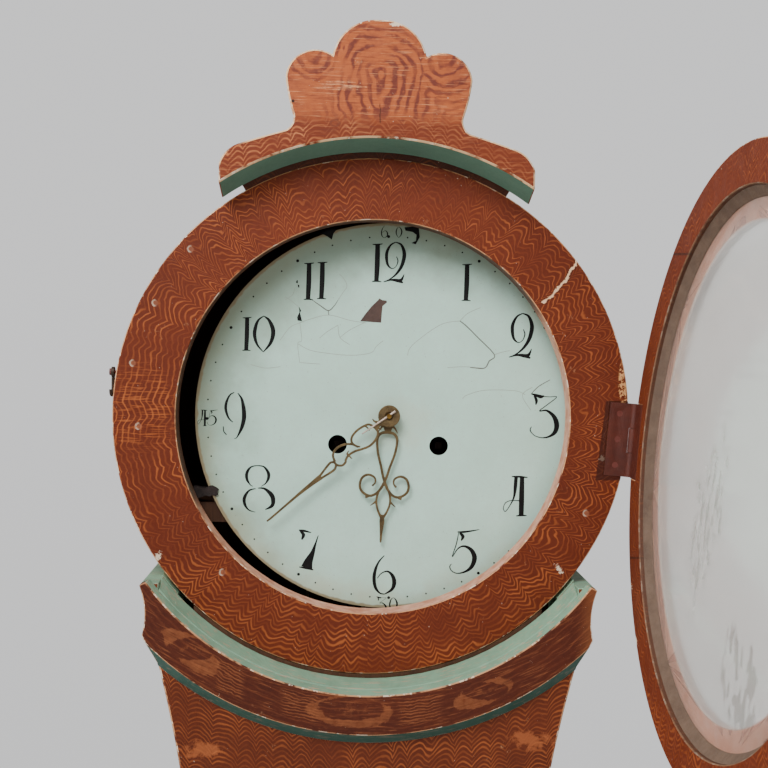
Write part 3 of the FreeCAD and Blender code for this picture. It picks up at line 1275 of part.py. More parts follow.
def make_brackets():
    """The cock that carries the pendulum, and the bell's bar and standard."""
    top = d.dial_height + d.anchor_height
    back = movement_back + d.plate_sheet
    half = d.pillar_radius * 2
    slot = d.pendulum_rod * 1.6 + d.pivot
    cock = solid_box((movement_x - half, back, top + d.pivot * 2),
                     (movement_x + half, pendulum_y + d.pillar_radius, top + d.pivot * 2 + d.pillar_radius))
    jaws = solid_box((movement_x - half, pendulum_y - d.pendulum_rod, top),
                     (movement_x + half, pendulum_y + d.pendulum_rod, top + d.pivot * 2))
    bell_x = movement_x
    level = d.dial_height + d.plate_head - d.pillar_radius * 2
    cross = solid_box((bell_x - d.pillar_radius, movement_front, level),
                      (bell_x + d.pillar_radius, movement_back, level + d.pillar_radius))
    standard = rod((bell_x, movement_y, level + d.pillar_radius),
                   (bell_x, movement_y, d.dial_height + d.bell_top + d.pillar_radius), d.dial_foot_radius)
    feature("movement_brackets", Part.makeCompound([joined([cock, jaws]), joined([cross, standard])]))
    outer = d.bell_radius
    wall = d.bell_wall
    depth = outer
    hole = d.dial_foot_radius
    steps = (0, 30, 55, 75)
    shell = []
    for degrees in steps:
        shell.append((outer * math.cos(math.radians(degrees)), depth * math.sin(math.radians(degrees)) - depth))
    shell.append((hole, 0))
    shell.append((hole, -wall))
    for degrees in reversed(steps):
        shell.append(((outer - wall) * math.cos(math.radians(degrees)),
                      (depth - wall) * math.sin(math.radians(degrees)) - depth))
    keep(turned("bell", shell, at(bell_x, movement_y, d.dial_height + d.bell_top), "XZ_Plane"), "bell")


# Weights, pulleys and lines

axle_level = d.weight_foot + d.weight_height + d.stirrup_height
pulley_radius = d.drum_radius + d.line_radius


def make_weight(name, x):
    low = d.weight_foot
    top = low + d.weight_height
    edge = d.weight_radius * 0.12
    body = turned(name + "_weight_body", [(0, 0), (d.weight_radius - edge, 0), (d.weight_radius, edge),
                                          (d.weight_radius, d.weight_height - edge),
                                          (d.weight_radius - edge, d.weight_height), (0, d.weight_height)],
                  at(x, drum_y, low), "XZ_Plane")
    side = d.pulley_sheet / 2 + d.pulley_side_gap
    half = d.stirrup_width / 2
    rise = d.stirrup_height + half
    cheeks = [solid_box((x - half, y, top), (x + half, y + d.stirrup_sheet, top + rise))
              for y in (drum_y - side - d.stirrup_sheet, drum_y + side)]
    sole = solid_box((x - half, drum_y - side, top), (x + half, drum_y + side, top + d.stirrup_sheet))
    axle = rod((x, drum_y - side, axle_level), (x, drum_y + side, axle_level), d.axle_radius)
    fork = feature_tool(name + "_stirrup", joined(cheeks + [sole, axle]))
    group = doc.addObject("Part::Compound", name + "_weight")
    group.Links = [body, fork]
    keep(group, name + "_weight")
    rim = pulley_radius
    groove = rim - d.line_radius
    half_sheet = d.pulley_sheet / 2
    bore = d.axle_radius + d.running_gap
    profile = [(bore, -half_sheet), (rim + d.line_radius, -half_sheet), (groove, -d.line_radius),
               (groove, d.line_radius), (rim + d.line_radius, half_sheet), (bore, half_sheet)]
    keep(turned(name + "_pulley", profile, at(x, drum_y, axle_level)), name + "_pulley")
    upper = d.dial_height - d.cheek_drop
    strands = [rod((x + sign * pulley_radius, drum_y, axle_level), (x + sign * pulley_radius, drum_y, upper),
                   d.line_radius) for sign in (1, -1)]
    turn = Part.makeTorus(pulley_radius, d.line_radius, V(x, drum_y, axle_level), Y_AXIS)
    reach = pulley_radius * 2
    half_turn = turn.common(solid_box((x - reach, drum_y - reach, axle_level - reach),
                                      (x + reach, drum_y + reach, axle_level)))
    feature(name + "_line", joined(strands + [half_turn]))


def make_line_ends():
    """The lines above the seat board: up to each drum, and the knots on the board."""
    upper = d.dial_height - d.cheek_drop
    ends = []
    for place in (going_at, strike_at):
        side = 1 if place is going_at else -1
        x = place[0] + side * pulley_radius
        ends.append(rod((x, drum_y, upper), (x, drum_y, d.dial_height + place[1]), d.line_radius))
        x = place[0] - side * pulley_radius
        knot_top = upper + d.seat_board
        knot_z = knot_top + d.line_radius * 2
        ends.append(joined([rod((x, drum_y, upper), (x, drum_y, knot_z), d.line_radius),
                            rod((x, drum_y - d.line_knot / 2, knot_z), (x, drum_y + d.line_knot / 2, knot_z),
                                d.line_radius * 2)]))
    feature("line_ends", Part.makeCompound(ends))


def make_hand_pin():
    """The taper pin through the end of the centre arbor, in front of the minute hand."""
    y = minute_front - d.hand_sheet - d.pivot
    start = polar(d.minute_hub * 0.9, 40)
    end = polar(d.minute_length * 0.2, 214)
    pin = Part.makeCone(d.pivot * 0.8, d.pivot * 0.4,
                        math.hypot(end[0] - start[0], end[1] - start[1]),
                        V(movement_x + start[0], y, d.dial_height + start[1]),
                        V(end[0] - start[0], 0, end[1] - start[1]))
    feature("hand_pin", pin)


make_plinth()
make_trunk()
make_trunk_door()
make_hood()
make_collar()
make_bezel()
make_latch()
make_frame()
make_dial()
make_going_train()
make_strike_train()
make_drum("going_drum", going_at)
make_drum("strike_drum", strike_at)
make_hammer()
make_motion_work()
make_hour_hand()
make_minute_hand()
make_hand_pin()
make_pendulum()
make_brackets()
make_weight("going", going_at[0])
make_weight("strike", strike_at[0])
make_line_ends()

# The hood ring is let in for the hinge
ring = next(item for item in nodes if item.Label == "hood_ring")
nodes.remove(ring)
ring.Label = "hood_ring_blank"
keep(cut_hinge_room(ring), "hood_ring")

doc.recompute()
for item in doc.Objects:
    if "Invalid" in item.State or "Error" in item.State:
        raise RuntimeError("failed: " + item.Label)
for item in nodes:
    if item.Shape.isNull() or not item.Shape.isValid():
        raise RuntimeError("bad shape: " + item.Label)

os.makedirs("parts", exist_ok=True)
for item in nodes:
    item.Shape.exportStep("parts/" + item.Label + ".step")
    print(item.Label, len(item.Shape.Solids), round(item.Shape.Volume))
print(len(nodes), "nodes")
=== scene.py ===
import json
import math
from functools import partialmethod

import bmesh
import bpy
from mathutils import Matrix, Vector


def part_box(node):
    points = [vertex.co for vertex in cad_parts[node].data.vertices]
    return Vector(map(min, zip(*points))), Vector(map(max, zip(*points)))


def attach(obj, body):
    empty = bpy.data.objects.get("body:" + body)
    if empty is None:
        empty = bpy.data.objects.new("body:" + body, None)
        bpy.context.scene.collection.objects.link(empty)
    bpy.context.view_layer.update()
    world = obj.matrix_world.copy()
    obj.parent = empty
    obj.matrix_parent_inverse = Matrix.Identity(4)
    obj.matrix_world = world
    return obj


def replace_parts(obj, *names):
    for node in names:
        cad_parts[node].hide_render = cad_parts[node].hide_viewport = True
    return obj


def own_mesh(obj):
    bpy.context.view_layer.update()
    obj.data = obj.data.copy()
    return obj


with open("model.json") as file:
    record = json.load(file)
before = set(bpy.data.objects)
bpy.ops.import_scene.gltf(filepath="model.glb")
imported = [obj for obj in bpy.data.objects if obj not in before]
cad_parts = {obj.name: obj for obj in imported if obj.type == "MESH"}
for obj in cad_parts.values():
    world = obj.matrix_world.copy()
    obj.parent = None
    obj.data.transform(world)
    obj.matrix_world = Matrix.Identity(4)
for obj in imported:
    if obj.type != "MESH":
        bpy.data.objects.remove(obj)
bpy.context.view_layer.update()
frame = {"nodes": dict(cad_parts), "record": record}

MM = 0.001

# Places in millimetres, in the part's own frame; "up" is measured from the hood's centre
HOOD_HEIGHT = 1815.0
DIAL_FRONT = -55.0
DIAL_X, DIAL_UP = 16.0, -1.0
HANDS_X = 16.0
HINGE = (229.64, -95.0, 1798.94)
HINGE_LEAN = math.radians(4)
HINGE_AXIS = (math.sin(HINGE_LEAN), 0, math.cos(HINGE_LEAN))
DOOR_OPENED = math.radians(91)
BEZEL_LIP_BACK = -107.0
BEZEL_REBATE = 195.0
DIAL_RADIUS_WORN = 172.6

# Camera, in metres and degrees: turned about the vertical, tipped down, then rolled
CAMERA_PLACE = (-0.025, -1.140, 1.8816)
CAMERA_TURN, CAMERA_DOWN, CAMERA_ROLL = -1.91, 2.01, 1.1
CAMERA_LENS = 56.1
CAMERA_SENSOR = 36


def new_piece(name, data):
    piece = bpy.data.objects.new(name, data)
    bpy.context.scene.collection.objects.link(piece)
    return piece


def make_camera():
    camera = new_piece("view", bpy.data.cameras.new("view"))
    camera.data.sensor_width = CAMERA_SENSOR
    camera.data.lens = CAMERA_LENS
    place = Matrix.Translation(CAMERA_PLACE)
    for degrees, axis in ((CAMERA_TURN, "Z"), (90 - CAMERA_DOWN, "X"), (CAMERA_ROLL, "Z")):
        place = place @ Matrix.Rotation(math.radians(degrees), 4, axis)
    camera.matrix_world = place
    bpy.context.scene.camera = camera


make_camera()


def srgb(red, green, blue):
    """A display colour (0 to 255) as linear RGBA."""
    out = []
    for value in (red, green, blue):
        value /= 255
        out.append(value / 12.92 if value <= 0.04045 else ((value + 0.055) / 1.055) ** 2.4)
    return (*out, 1.0)


class Number:
    """A number on a socket of a node tree, which adds and multiplies like a plain one."""

    def __init__(self, nodes, socket):
        self.nodes = nodes
        self.socket = socket

    def before(self, operation, other=0.0):
        return self.nodes.math(operation, self, other)

    def after(self, operation, other):
        return self.nodes.math(operation, other, self)

    __add__ = partialmethod(before, "ADD")
    __radd__ = partialmethod(after, "ADD")
    __sub__ = partialmethod(before, "SUBTRACT")
    __rsub__ = partialmethod(after, "SUBTRACT")
    __mul__ = partialmethod(before, "MULTIPLY")
    __rmul__ = partialmethod(after, "MULTIPLY")
    __truediv__ = partialmethod(before, "DIVIDE")
    __neg__ = partialmethod(before, "MULTIPLY", -1)
    __abs__ = partialmethod(before, "ABSOLUTE")
    fract = partialmethod(before, "FRACT")
    floor = partialmethod(before, "FLOOR")
    sin = partialmethod(before, "SINE")
    root = partialmethod(before, "SQRT")
    least = partialmethod(before, "MINIMUM")
    most = partialmethod(before, "MAXIMUM")

    def smooth(self, low, high, to_low=0.0, to_high=1.0):
        """A soft step from to_low at low to to_high at high."""
        inputs = {"Value": self, "From Min": low, "From Max": high, "To Min": to_low, "To Max": to_high}
        return self.nodes.number("MapRange", inputs, interpolation_type="SMOOTHSTEP")

    def fade(self, low, high):
        """1 up to low, then softly down to 0 at high."""
        return self.smooth(low, high, 1.0, 0.0)

    def within(self, low, high, soft):
        """1 between low and high, fading to 0 over `soft` at each end."""
        return self.smooth(low - soft, low) * self.fade(high, high + soft)


class Nodes:
    """A node tree; an input takes a number, another node's output or a display colour (0 to 255)."""

    def __init__(self, tree):
        self.tree = tree

    def put(self, value, socket):
        if isinstance(value, Number):
            value = value.socket
        if isinstance(value, bpy.types.NodeSocket):
            self.tree.links.new(value, socket)
        elif socket.type == "RGBA" and len(value) == 3:
            socket.default_value = srgb(*value)
        else:
            socket.default_value = value

    def node(self, kind, inputs=None, **settings):
        """A node with its settings, and its inputs filled by name or by number."""
        node = self.tree.nodes.new("ShaderNode" + kind)
        for name, value in settings.items():
            setattr(node, name, value)
        for key, value in (inputs or {}).items():
            self.put(value, node.inputs[key])
        return node

    def number(self, kind, inputs=None, output=0, **settings):
        """The number that a new node gives."""
        return Number(self, self.node(kind, inputs, **settings).outputs[output])

    def math(self, operation, first, second):
        return self.number("Math", {0: first, 1: second}, operation=operation)

    def mix(self, share, first, second):
        """A colour from first (share 0) to second (share 1)."""
        return self.node("Mix", {0: share, 6: first, 7: second}, data_type="RGBA").outputs[2]

    def parts_of(self, vector):
        node = self.node("SeparateXYZ", {0: vector})
        return [Number(self, output) for output in node.outputs]


class Paint(Nodes):
    """A material whose nodes work in millimetres of the part's frame."""

    def __init__(self, name, opened=False):
        self.material = bpy.data.materials.new(name)
        self.material.use_nodes = True
        super().__init__(self.material.node_tree)
        self.tree.nodes.clear()
        self.shader = self.node("BsdfPrincipled")
        self.node("OutputMaterial", {0: self.shader.outputs[0]})
        self.bumps = None
        self.colour = None
        self.opened = opened
        metres = self.node("TexCoord").outputs["Object"]
        scaled = self.node("VectorMath", {0: metres}, operation="SCALE")
        scaled.inputs["Scale"].default_value = 1 / MM
        self.place = self.shut(scaled.outputs[0], HINGE)
        self.x, self.y, self.z = self.parts_of(self.place)
        self.up = self.z - HOOD_HEIGHT
        facing = self.node("NewGeometry").outputs["True Normal"]
        local = self.node("VectorTransform", {0: facing}, vector_type="NORMAL", convert_from="WORLD",
                          convert_to="OBJECT")
        self.normal_x, self.normal_y, self.normal_z = self.parts_of(self.shut(local.outputs[0], (0, 0, 0)))

    def shut(self, vector, centre):
        """On a piece of the glazed door, the vector as it is with the door shut."""
        if not self.opened:
            return vector
        inputs = {"Vector": vector, "Center": centre, "Axis": HINGE_AXIS, "Angle": -DOOR_OPENED}
        return self.node("VectorRotate", inputs).outputs[0]

    def radius(self, x0=0.0, up0=0.0):
        """The distance from a centre in the front view, in mm."""
        x, up = self.x - x0, self.up - up0
        return (x * x + up * up).root()

    def away(self):
        """How far the surface faces away from the hood's centre: 1 squarely, -1 towards it."""
        return (self.normal_x * self.x + self.normal_z * self.up) / self.radius()

    def spot(self, x0, up0, wide, high=None, turn=0.0, ragged=0.0, seed=0.0):
        """How far out of an ellipse's centre a place is: 0 at the centre, 1 on its edge."""
        high = high or wide
        x, up = self.x - x0, self.up - up0
        cosine, sine = math.cos(math.radians(turn)), math.sin(math.radians(turn))
        along = (x * cosine + up * sine) / wide
        over = (up * cosine - x * sine) / high
        out = (along * along + over * over).root()
        if ragged:
            out = out + (self.noise(min(wide, high) * 0.7, seed, 4, 0.65) - 0.5) * ragged
        return out

    def noise(self, size, seed=0.0, detail=2.0, rough=0.5, place=None, twist=0.0):
        """Noise from about 0 to 1 with features of about `size` mm, at a place of its own if one is given."""
        at = self.node("CombineXYZ", dict(enumerate(place))).outputs[0] if place else self.place
        inputs = {"Vector": at, "W": seed, "Scale": 1 / size, "Detail": detail, "Roughness": rough,
                  "Distortion": twist}
        return self.number("TexNoise", inputs, noise_dimensions="4D").smooth(0.22, 0.78)

    def over(self, tone, share):
        """A colour over what is painted so far, where share is above 0."""
        self.colour = self.mix(share, self.colour, tone)

    def bump(self, height, depth, strength=1.0):
        """Relief: height from 0 to 1 stands for depth in mm."""
        inputs = {"Strength": strength, "Distance": depth * MM, "Height": height}
        if self.bumps is not None:
            inputs["Normal"] = self.bumps
        self.bumps = self.node("Bump", inputs).outputs[0]

    def finish(self, roughness, **fixed):
        inputs = {"Base Color": self.colour, "Roughness": roughness}
        if self.bumps is not None:
            inputs["Normal"] = self.bumps
        for name, value in fixed.items():
            inputs[name.replace("_", " ")] = value
        for name, value in inputs.items():
            self.put(value, self.shader.inputs[name])
        return self.material


# Paints: display colours, and the distance from one combed line of the ring to the next in mm
RED_BROWN = (123, 50, 20)
DEEP_BROWN = (90, 31, 10)
LINE_TAN = (196, 106, 50)
WORN_WOOD = (214, 158, 112)
PALE_CHIP = (240, 218, 190)
PALE_PLUG = (196, 130, 96)
GREEN = (134, 170, 142)
DARK_GREEN = (100, 134, 115)
CREST_TAN = (196, 102, 54)
CREST_STROKE = (112, 52, 42)
TRUNK_BROWN = (106, 44, 18)
TRUNK_DEEP = (76, 28, 9)
COMB_SPACING = 5.3


def wandering(paint, seed):
    """The unsteady hand that pulled the comb: a slow drift with a fine shake, in mm."""
    return paint.noise(30, seed, 3) * 2 + paint.noise(6, seed + 3, 2) * 0.7


def comb_lines(paint, across, along, spacing, width, seed, fade_length=45.0):
    """Thin combed lines over `across` (mm), which swell, thin out and fade along their way."""
    turn = (across + wandering(paint, seed)) / spacing
    off = abs(turn.fract() - 0.5) * spacing
    row = turn.floor()
    thick = paint.noise(1, 0, 2, place=(along / 20, row * 7.31, seed))
    line = off.fade(width * 0.2, thick * width * 0.8 + width * 0.6)
    alone = paint.noise(1, 0, 3, place=(along / fade_length, row * 3.17, seed + 9))
    together = paint.noise(34, seed + 17, 3)
    return line * alone.smooth(0.1, 0.8, 0.2, 1.0) * together.smooth(0.15, 0.75, 0.3, 1.0)


def zigzag(along, period, rounded=0.6):
    """A wave from 0 to 1 with rounded tops and pointed feet."""
    arch = abs((along * (math.pi / period)).sin())
    tooth = 1 - (along / (period / 2) + 1).before("PINGPONG", 1.0)
    return arch * rounded + tooth * (1 - rounded)


def worn_ground(paint, seed, light=RED_BROWN, dark=DEEP_BROWN):
    """The brown ground: cloudy, brushed and finely specked."""
    cloud = paint.noise(60, seed, 4, 0.6)
    speck = paint.noise(3.0, seed + 5, 4, 0.75)
    return paint.mix(cloud * 0.5 + speck * 0.5, dark, light)


def worn_arrises(paint, amount, low=0.3, high=0.45, both=False, bare=WORN_WOOD):
    """Bare and chipped colour on the rounded edges of a front face, or of the back's too."""
    slope = abs(paint.normal_y) if both else -paint.normal_y
    edge = slope.smooth(low, high) * slope.fade(0.93, 0.97)
    rub = paint.noise(16, 31, 4, 0.65)
    paint.over(bare, edge * rub.smooth(0.2, 0.55) * amount)
    chips = paint.noise(7, 33, 3, 0.6).smooth(0.66, 0.74)
    paint.over(PALE_CHIP, edge * chips * amount)


def scuffs(paint, amount, seed=50.0):
    """Rare rubbed places and pale flecks."""
    rubbed = paint.noise(26, seed, 6, 0.72).smooth(0.84, 0.97)
    paint.over(WORN_WOOD, rubbed * amount)
    flecks = paint.noise(2.2, seed + 2, 2).smooth(0.985, 0.999)
    paint.over(PALE_CHIP, flecks * amount)


def painted_relief(paint, line):
    """Old paint's surface: the lines' ridges, brush marks and fine pits."""
    paint.bump(line, 0.1)
    paint.bump(paint.noise(7, 21, 4, 0.65), 0.22, 0.6)
    paint.bump(paint.noise(0.9, 22, 3, 0.7), 0.05, 0.6)


def grained(paint, line, share):
    paint.over(LINE_TAN, line * share)
    painted_relief(paint, line)


def old_gloss(paint, roughness, gleam):
    """The material, as dull as its roughness and more so in places."""
    return paint.finish(paint.noise(14, 41, 3) * 0.2 + roughness, Specular_IOR_Level=gleam)


# Plugged screw holes of the ring, as angle clockwise from the top (degrees) and radius (mm)
RING_PLUGS = ((-48, 215), (-63, 213), (-78, 213), (-93, 203), (-137, 188), (113, 207))
RING_CHIPS = ((-124, 223, 4.5, 2.5), (128, 213, 5.0, 2.0), (99, 206, 2.2, 3.4))
# Above the ring's hinge leaf the paint has flaked: the place's middle and half sizes, from the hood's centre
RING_FLAKES = (221.5, 36, 5.5, 22)
# The hinge leaf let into the ring: its middle and half sizes
LEAF_PLACE = (214, -16.5, 10.5, 33.5)
LEAF_SLOPE = 0.11
# The door's joint lines, each from x, z to x, z with the door shut, and its chips
DOOR_JOINTS = ((124, 148, 184, 148), (134, -97.5, 204, -115.5))
DOOR_CHIPS = ((186.5, -134.5), (150, -171))
# Where the ring's combing is mirrored, in mm clockwise from the top
SEAM_AT = 22.0
# The crack across the hood ring's right shoulder, from the hood's centre, each point with a width
RING_CRACK = ((176.8, 143.3, 1.2), (176, 138, 2), (170.5, 131, 1.6), (168, 124, 2.2), (161, 117, 1.5),
              (156, 110, 2), (148, 104, 1.2))


def beside(paint, points):
    """How far a place is outside a line through the points (x, z, width) about the hood's centre, in mm."""
    nearest = None
    for (x0, z0, wide0), (x1, z1, wide1) in zip(points, points[1:]):
        run_x, run_z = x1 - x0, z1 - z0
        x, z = paint.x - x0, paint.up - z0
        share = (x * run_x + z * run_z) / (run_x * run_x + run_z * run_z)
        share = share.most(0.0).least(1.0)
        x, z = x - share * run_x, z - share * run_z
        gap = (x * x + z * z).root() - (wide0 + wide1) / 4
        nearest = gap if nearest is None else nearest.least(gap)
    return nearest


def clock_place(turn, reach):
    """The x and up of a place, by its angle clockwise from the top (degrees) and its radius (mm)."""
    return reach * math.sin(math.radians(turn)), reach * math.cos(math.radians(turn))


def ring_paint(name, opened=False):
    paint = Paint(name, opened)
    noise, over, spot = paint.noise, paint.over, paint.spot
    radius = paint.radius()
    angle = paint.math("ARCTAN2", paint.x, paint.up) * (180 / math.pi)
    along = angle * (math.radians(1) * 205)
    # the zigzag is mirrored at the seam near the top, lies nearly flat at nine o'clock, and is lower below
    from_seam = abs(along - SEAM_AT)
    drift = noise(1, 0, 3, place=(along / 44, 0, 4)) * 20
    wave = zigzag(from_seam + drift + noise(26, 4) * 9, 16.5)
    still = abs(angle + 84).smooth(10, 36, 0.15, 1.0)
    lower = abs(angle).smooth(95, 150)
    upper_left = spot(-150, 130, 90, 110).fade(0.4, 1.2)
    height = noise(40, 6, 2) * 7 + 6.5 - lower * 3.5 + upper_left * 3
    lift = noise(1, 0, 2, place=(along / 30, 3, 8)) * (12 - lower * 6)
    across = radius - wave * still * height - lift
    line = comb_lines(paint, across, along, COMB_SPACING - lower * 0.6, 1.1 + lower * 0.25, 1.0)
    paint.colour = worn_ground(paint, 2.0)
    # painted shade: the ground is darker below and towards the sides, so the top reads as lit from above
    over(DEEP_BROWN, lower * 0.3)
    over(DEEP_BROWN, abs(paint.x).smooth(40, 200) * 0.4)
    grained(paint, line, 0.4 if opened else 0.62)
    if not opened:
        for turn, reach in RING_PLUGS:
            at = clock_place(turn, reach)
            plug = spot(*at, 3.1, ragged=0.25, seed=turn)
            # a pale crescent on the left of each plug: a painted highlight on the plug's lit edge
            lit_crescent = plug.within(0.72, 1.0, 0.16) * (paint.x - at[0]).smooth(1.5, -1.5)
            over(PALE_PLUG, plug.fade(0.6, 0.95) * 0.25)
            over(PALE_CHIP, lit_crescent * 0.45)
            paint.bump(plug.smooth(0.8, 1.05), 0.35, 0.8)
        for turn, reach, wide, high in RING_CHIPS:
            at = clock_place(turn, reach)
            over(PALE_CHIP, spot(*at, wide, high, turn, 1.6, turn).fade(0.75, 0.95) * 0.85)
    scuffs(paint, 0.4)
    arris = 0.95
    if not opened:
        x0, z0, wide, high = LEAF_PLACE
        up = paint.up - z0
        recess = abs(paint.x - x0 - up * LEAF_SLOPE).smooth(wide + 1, wide + 2.2)
        recess = recess + abs(up).smooth(high + 1, high + 2.2)
        recess = 1 - recess.least(1.0)
        over((58, 20, 8), recess * 0.85)
        arris = (1 - recess) * 0.95
    worn_arrises(paint, arris, both=opened)
    rim = paint.away().smooth(0.9, 0.96)
    rub = noise(30, 16, 4).smooth(0.2, 0.7) * (0.3 if opened else 0.7)
    over(WORN_WOOD, rim * rub)
    if opened:
        for x0, z0, x1, z1 in DOOR_JOINTS:
            length = math.hypot(x1 - x0, z1 - z0)
            x, z = paint.x - x0, paint.up - z0
            off = abs(x * ((z0 - z1) / length) + z * ((x1 - x0) / length))
            along_joint = x * ((x1 - x0) / length) + z * ((z1 - z0) / length)
            joint = off.fade(0.5, 1.3) * along_joint.within(0, length, 3)
            over((44, 18, 8), joint * 0.7)
        for x0, z0 in DOOR_CHIPS:
            over(PALE_CHIP, spot(x0, z0, 9, 3, 0, 1.4, x0).fade(0.7, 1.0) * 0.8)
    else:
        crack = beside(paint, RING_CRACK) + (noise(3, 23, 3, 0.7) - 0.5) * 2.4
        over((240, 200, 158), crack.fade(-0.1, 0.4))
        over((60, 24, 10), abs(crack - 1.1).fade(0.1, 0.5) * 0.5)
        x0, z0, wide, high = RING_FLAKES
        flaked = spot(x0, z0, wide, high).fade(0.8, 1.1)
        flaked = flaked * noise(3.2, 18, 3, 0.7).smooth(0.5, 0.58)
        over((226, 168, 110), flaked * 0.85)
        # nine o'clock: rubbed streaks along the board's grain
        streaks = noise(1, 19, 3, 0.6, place=(paint.x / 22, 0, paint.z / 1.6))
        nine = spot(-200, 6, 40, 44, 0, 0.5, 20).fade(0.4, 1.1)
        over(LINE_TAN, streaks.smooth(0.55, 0.8) * nine * 0.5)
    # the opening's wall: a thin pinkish colour, lit below and right; above and left it is painted dark wood
    # as shade
    wall = (-paint.away()).smooth(0.9, 0.96) * radius.fade(176, 178)
    pink = paint.mix(noise(9, 14, 4), (186, 112, 84), (226, 172, 146))
    side = (paint.x * 0.5 - paint.up * 0.85).smooth(-22, 12)
    over(paint.mix(side, (84, 48, 32), pink), wall)
    if opened:
        # the lip's back, seen through the glass, and the rebate's wall
        lip = paint.y.within(BEZEL_LIP_BACK - 1, BEZEL_LIP_BACK + 0.6, 0.4)
        lip = lip * radius.fade(BEZEL_REBATE - 0.5, BEZEL_REBATE + 0.5)
        pale = paint.mix(noise(12, 15, 4), (246, 204, 176), (252, 232, 214))
        over(pale, lip)
        rebate = (radius - BEZEL_REBATE).smooth(-0.5, 0) * (radius - BEZEL_REBATE).fade(0.6, 1.2)
        over((86, 62, 48), rebate * 0.8)
    return old_gloss(paint, 0.46, 0.26)


def board_paint(name, seed, light=TRUNK_BROWN, dark=TRUNK_DEEP, share=0.52, arris=0.8, upright=False,
                green_hollow=False):
    """Combed graining of the case's boards: nested waves that sag in the middle, or waves down a door.
    The hollow that the hood's ring rests in, and what faces up beside it, may be green."""
    paint = Paint(name)
    if upright:
        along, across = paint.z, paint.x + paint.y
        sag = paint.noise(150, seed + 1, 1) * 26
    else:
        along, across = paint.x + paint.y, paint.z
        sag = paint.x * paint.x * -0.00166 + paint.noise(120, seed + 1, 1) * 14
    drift = paint.noise(1, 0, 3, place=(along / 60, 0, seed + 4)) * 14
    wave = zigzag(along + drift + paint.noise(24, seed + 2) * 4, 17.0, 0.9)
    height = paint.noise(50, seed + 6, 2) * 4 + 5
    line = comb_lines(paint, across + sag - wave * height, along, 4.4, 1.25, seed)
    paint.colour = worn_ground(paint, seed + 5, light, dark)
    grained(paint, line, share)
    scuffs(paint, 0.6, seed + 50)
    near = 0.0
    if green_hollow:
        near = paint.radius().fade(262, 266)
        for x0, z0, wide in ((-140, -288, 17), (142, -277, 20)):
            paint.over((186, 104, 58), paint.spot(x0, z0, wide, 9, 0, 1.4, x0).fade(0.3, 1.0) * 0.5)
    worn_arrises(paint, (1 - near) * arris)
    if green_hollow:
        turned = (-paint.normal_y).fade(0.985, 0.998)
        paint.over(green_of(paint, GREEN, 99.0, 0.45), near * turned)
    return old_gloss(paint, 0.46, 0.26)


# Crest: the centre of the arches, the centres of the two lobes' swags and where the wings begin (mm)
CREST_ARCHES = (2.0, 292.0)
CREST_SWAGS = ((-56.0, 309.0), (56.5, 305.3))
CREST_WINGS = 254.0


def nested(paint, x0, z0, side=1):
    """A field of nested arches about a centre: round above (or below, side -1), then straight legs."""
    x, z = paint.x - x0, (paint.up - z0) * side
    z = z.most(z * -0.35)
    return (x * x + z * z).root()


def crest_paint(name):
    paint = Paint(name)
    noise, over, spot = paint.noise, paint.over, paint.spot
    rough_x = noise(30, 71, 2) * 11 + noise(7, 72, 3) * 2
    arches = nested(paint, *CREST_ARCHES) + rough_x
    left, right = [nested(paint, *centre, -1) + 12 + rough_x for centre in CREST_SWAGS]
    field = arches.least(left.least(right))
    band = abs((field / 7.4).fract() - 0.5) * 7.4
    swell = noise(13, 74, 3) * 1.7
    stroke = band.fade(swell, swell + 1.7)
    stroke = stroke * noise(5, 79, 4, 0.7).smooth(0.05, 0.45, 0.45, 1.0)
    fade = field.smooth(40, 62, 1.0, 0.5) * noise(22, 75, 3).smooth(0.2, 0.65, 0.2, 1.0)
    wings = paint.up.fade(CREST_WINGS - 8, CREST_WINGS + 8)
    wave = zigzag(abs(paint.x) + noise(26, 76) * 9, 13.0, 0.8) * 5
    slope = paint.z + abs(paint.x) * 0.42 - wave
    comb = comb_lines(paint, slope, paint.x, 4.8, 1.3, 77.0, 90.0)
    paint.colour = worn_ground(paint, 78.0, CREST_TAN, (166, 84, 48))
    brushed = noise(34, 86, 4, 0.6).smooth(0.45, 0.75)
    over((136, 66, 46), brushed * 0.35)
    over((118, 49, 26), wings * 0.95)
    over(CREST_STROKE, stroke * fade * (1 - wings) * 0.95)
    over((206, 124, 74), comb * wings * 0.85)
    # rubbed streaks along the grain, a knot, a short crack and a nail hole
    grain = noise(1, 80, 4, 0.7, place=(paint.x / 30, paint.y, paint.z / 1.3))
    over((222, 146, 98), grain.smooth(0.64, 0.84) * (0.65 - wings * 0.4))
    over((100, 46, 34), grain.smooth(0.38, 0.16) * 0.7)
    streaks = spot(-33, 281, 22, 5, 0, 0.8, 81).fade(0.3, 1.0)
    over((232, 166, 118), streaks * grain.smooth(0.45, 0.6) * 0.8)
    knot = spot(-36.6, 249.6, 5, 3.6, 0, 0.3, 82).within(0.6, 0.8, 0.2)
    over((112, 58, 40), knot * 0.6)
    crack = abs(paint.x - 2 + noise(9, 83) * 1.5).fade(0.2, 0.7)
    crack = crack * paint.up.within(252, 265, 3)
    hole = spot(-72.1, 267, 1.5).fade(0.7, 1.1)
    over((60, 34, 24), (crack * 0.7).most(hole))
    painted_relief(paint, stroke * 0.3 + grain * 0.4)
    scuffs(paint, 0.4)
    # the board's edge all round is worn tan, with one white chip at the top
    edge_on = abs(paint.normal_y).smooth(0.08, 0.03)
    over((222, 166, 118), edge_on * 0.85)
    under = (-paint.away()).smooth(0.9, 0.95)
    over(worn_ground(paint, 84.0, DARK_GREEN, (84, 116, 98)), under)
    worn_arrises(paint, 0.9, 0.3, 0.4, bare=(244, 200, 150))
    over(PALE_CHIP, spot(13, 333, 5, 2, 0, 0.8, 85).fade(0.7, 1.0))
    return old_gloss(paint, 0.5, 0.22)


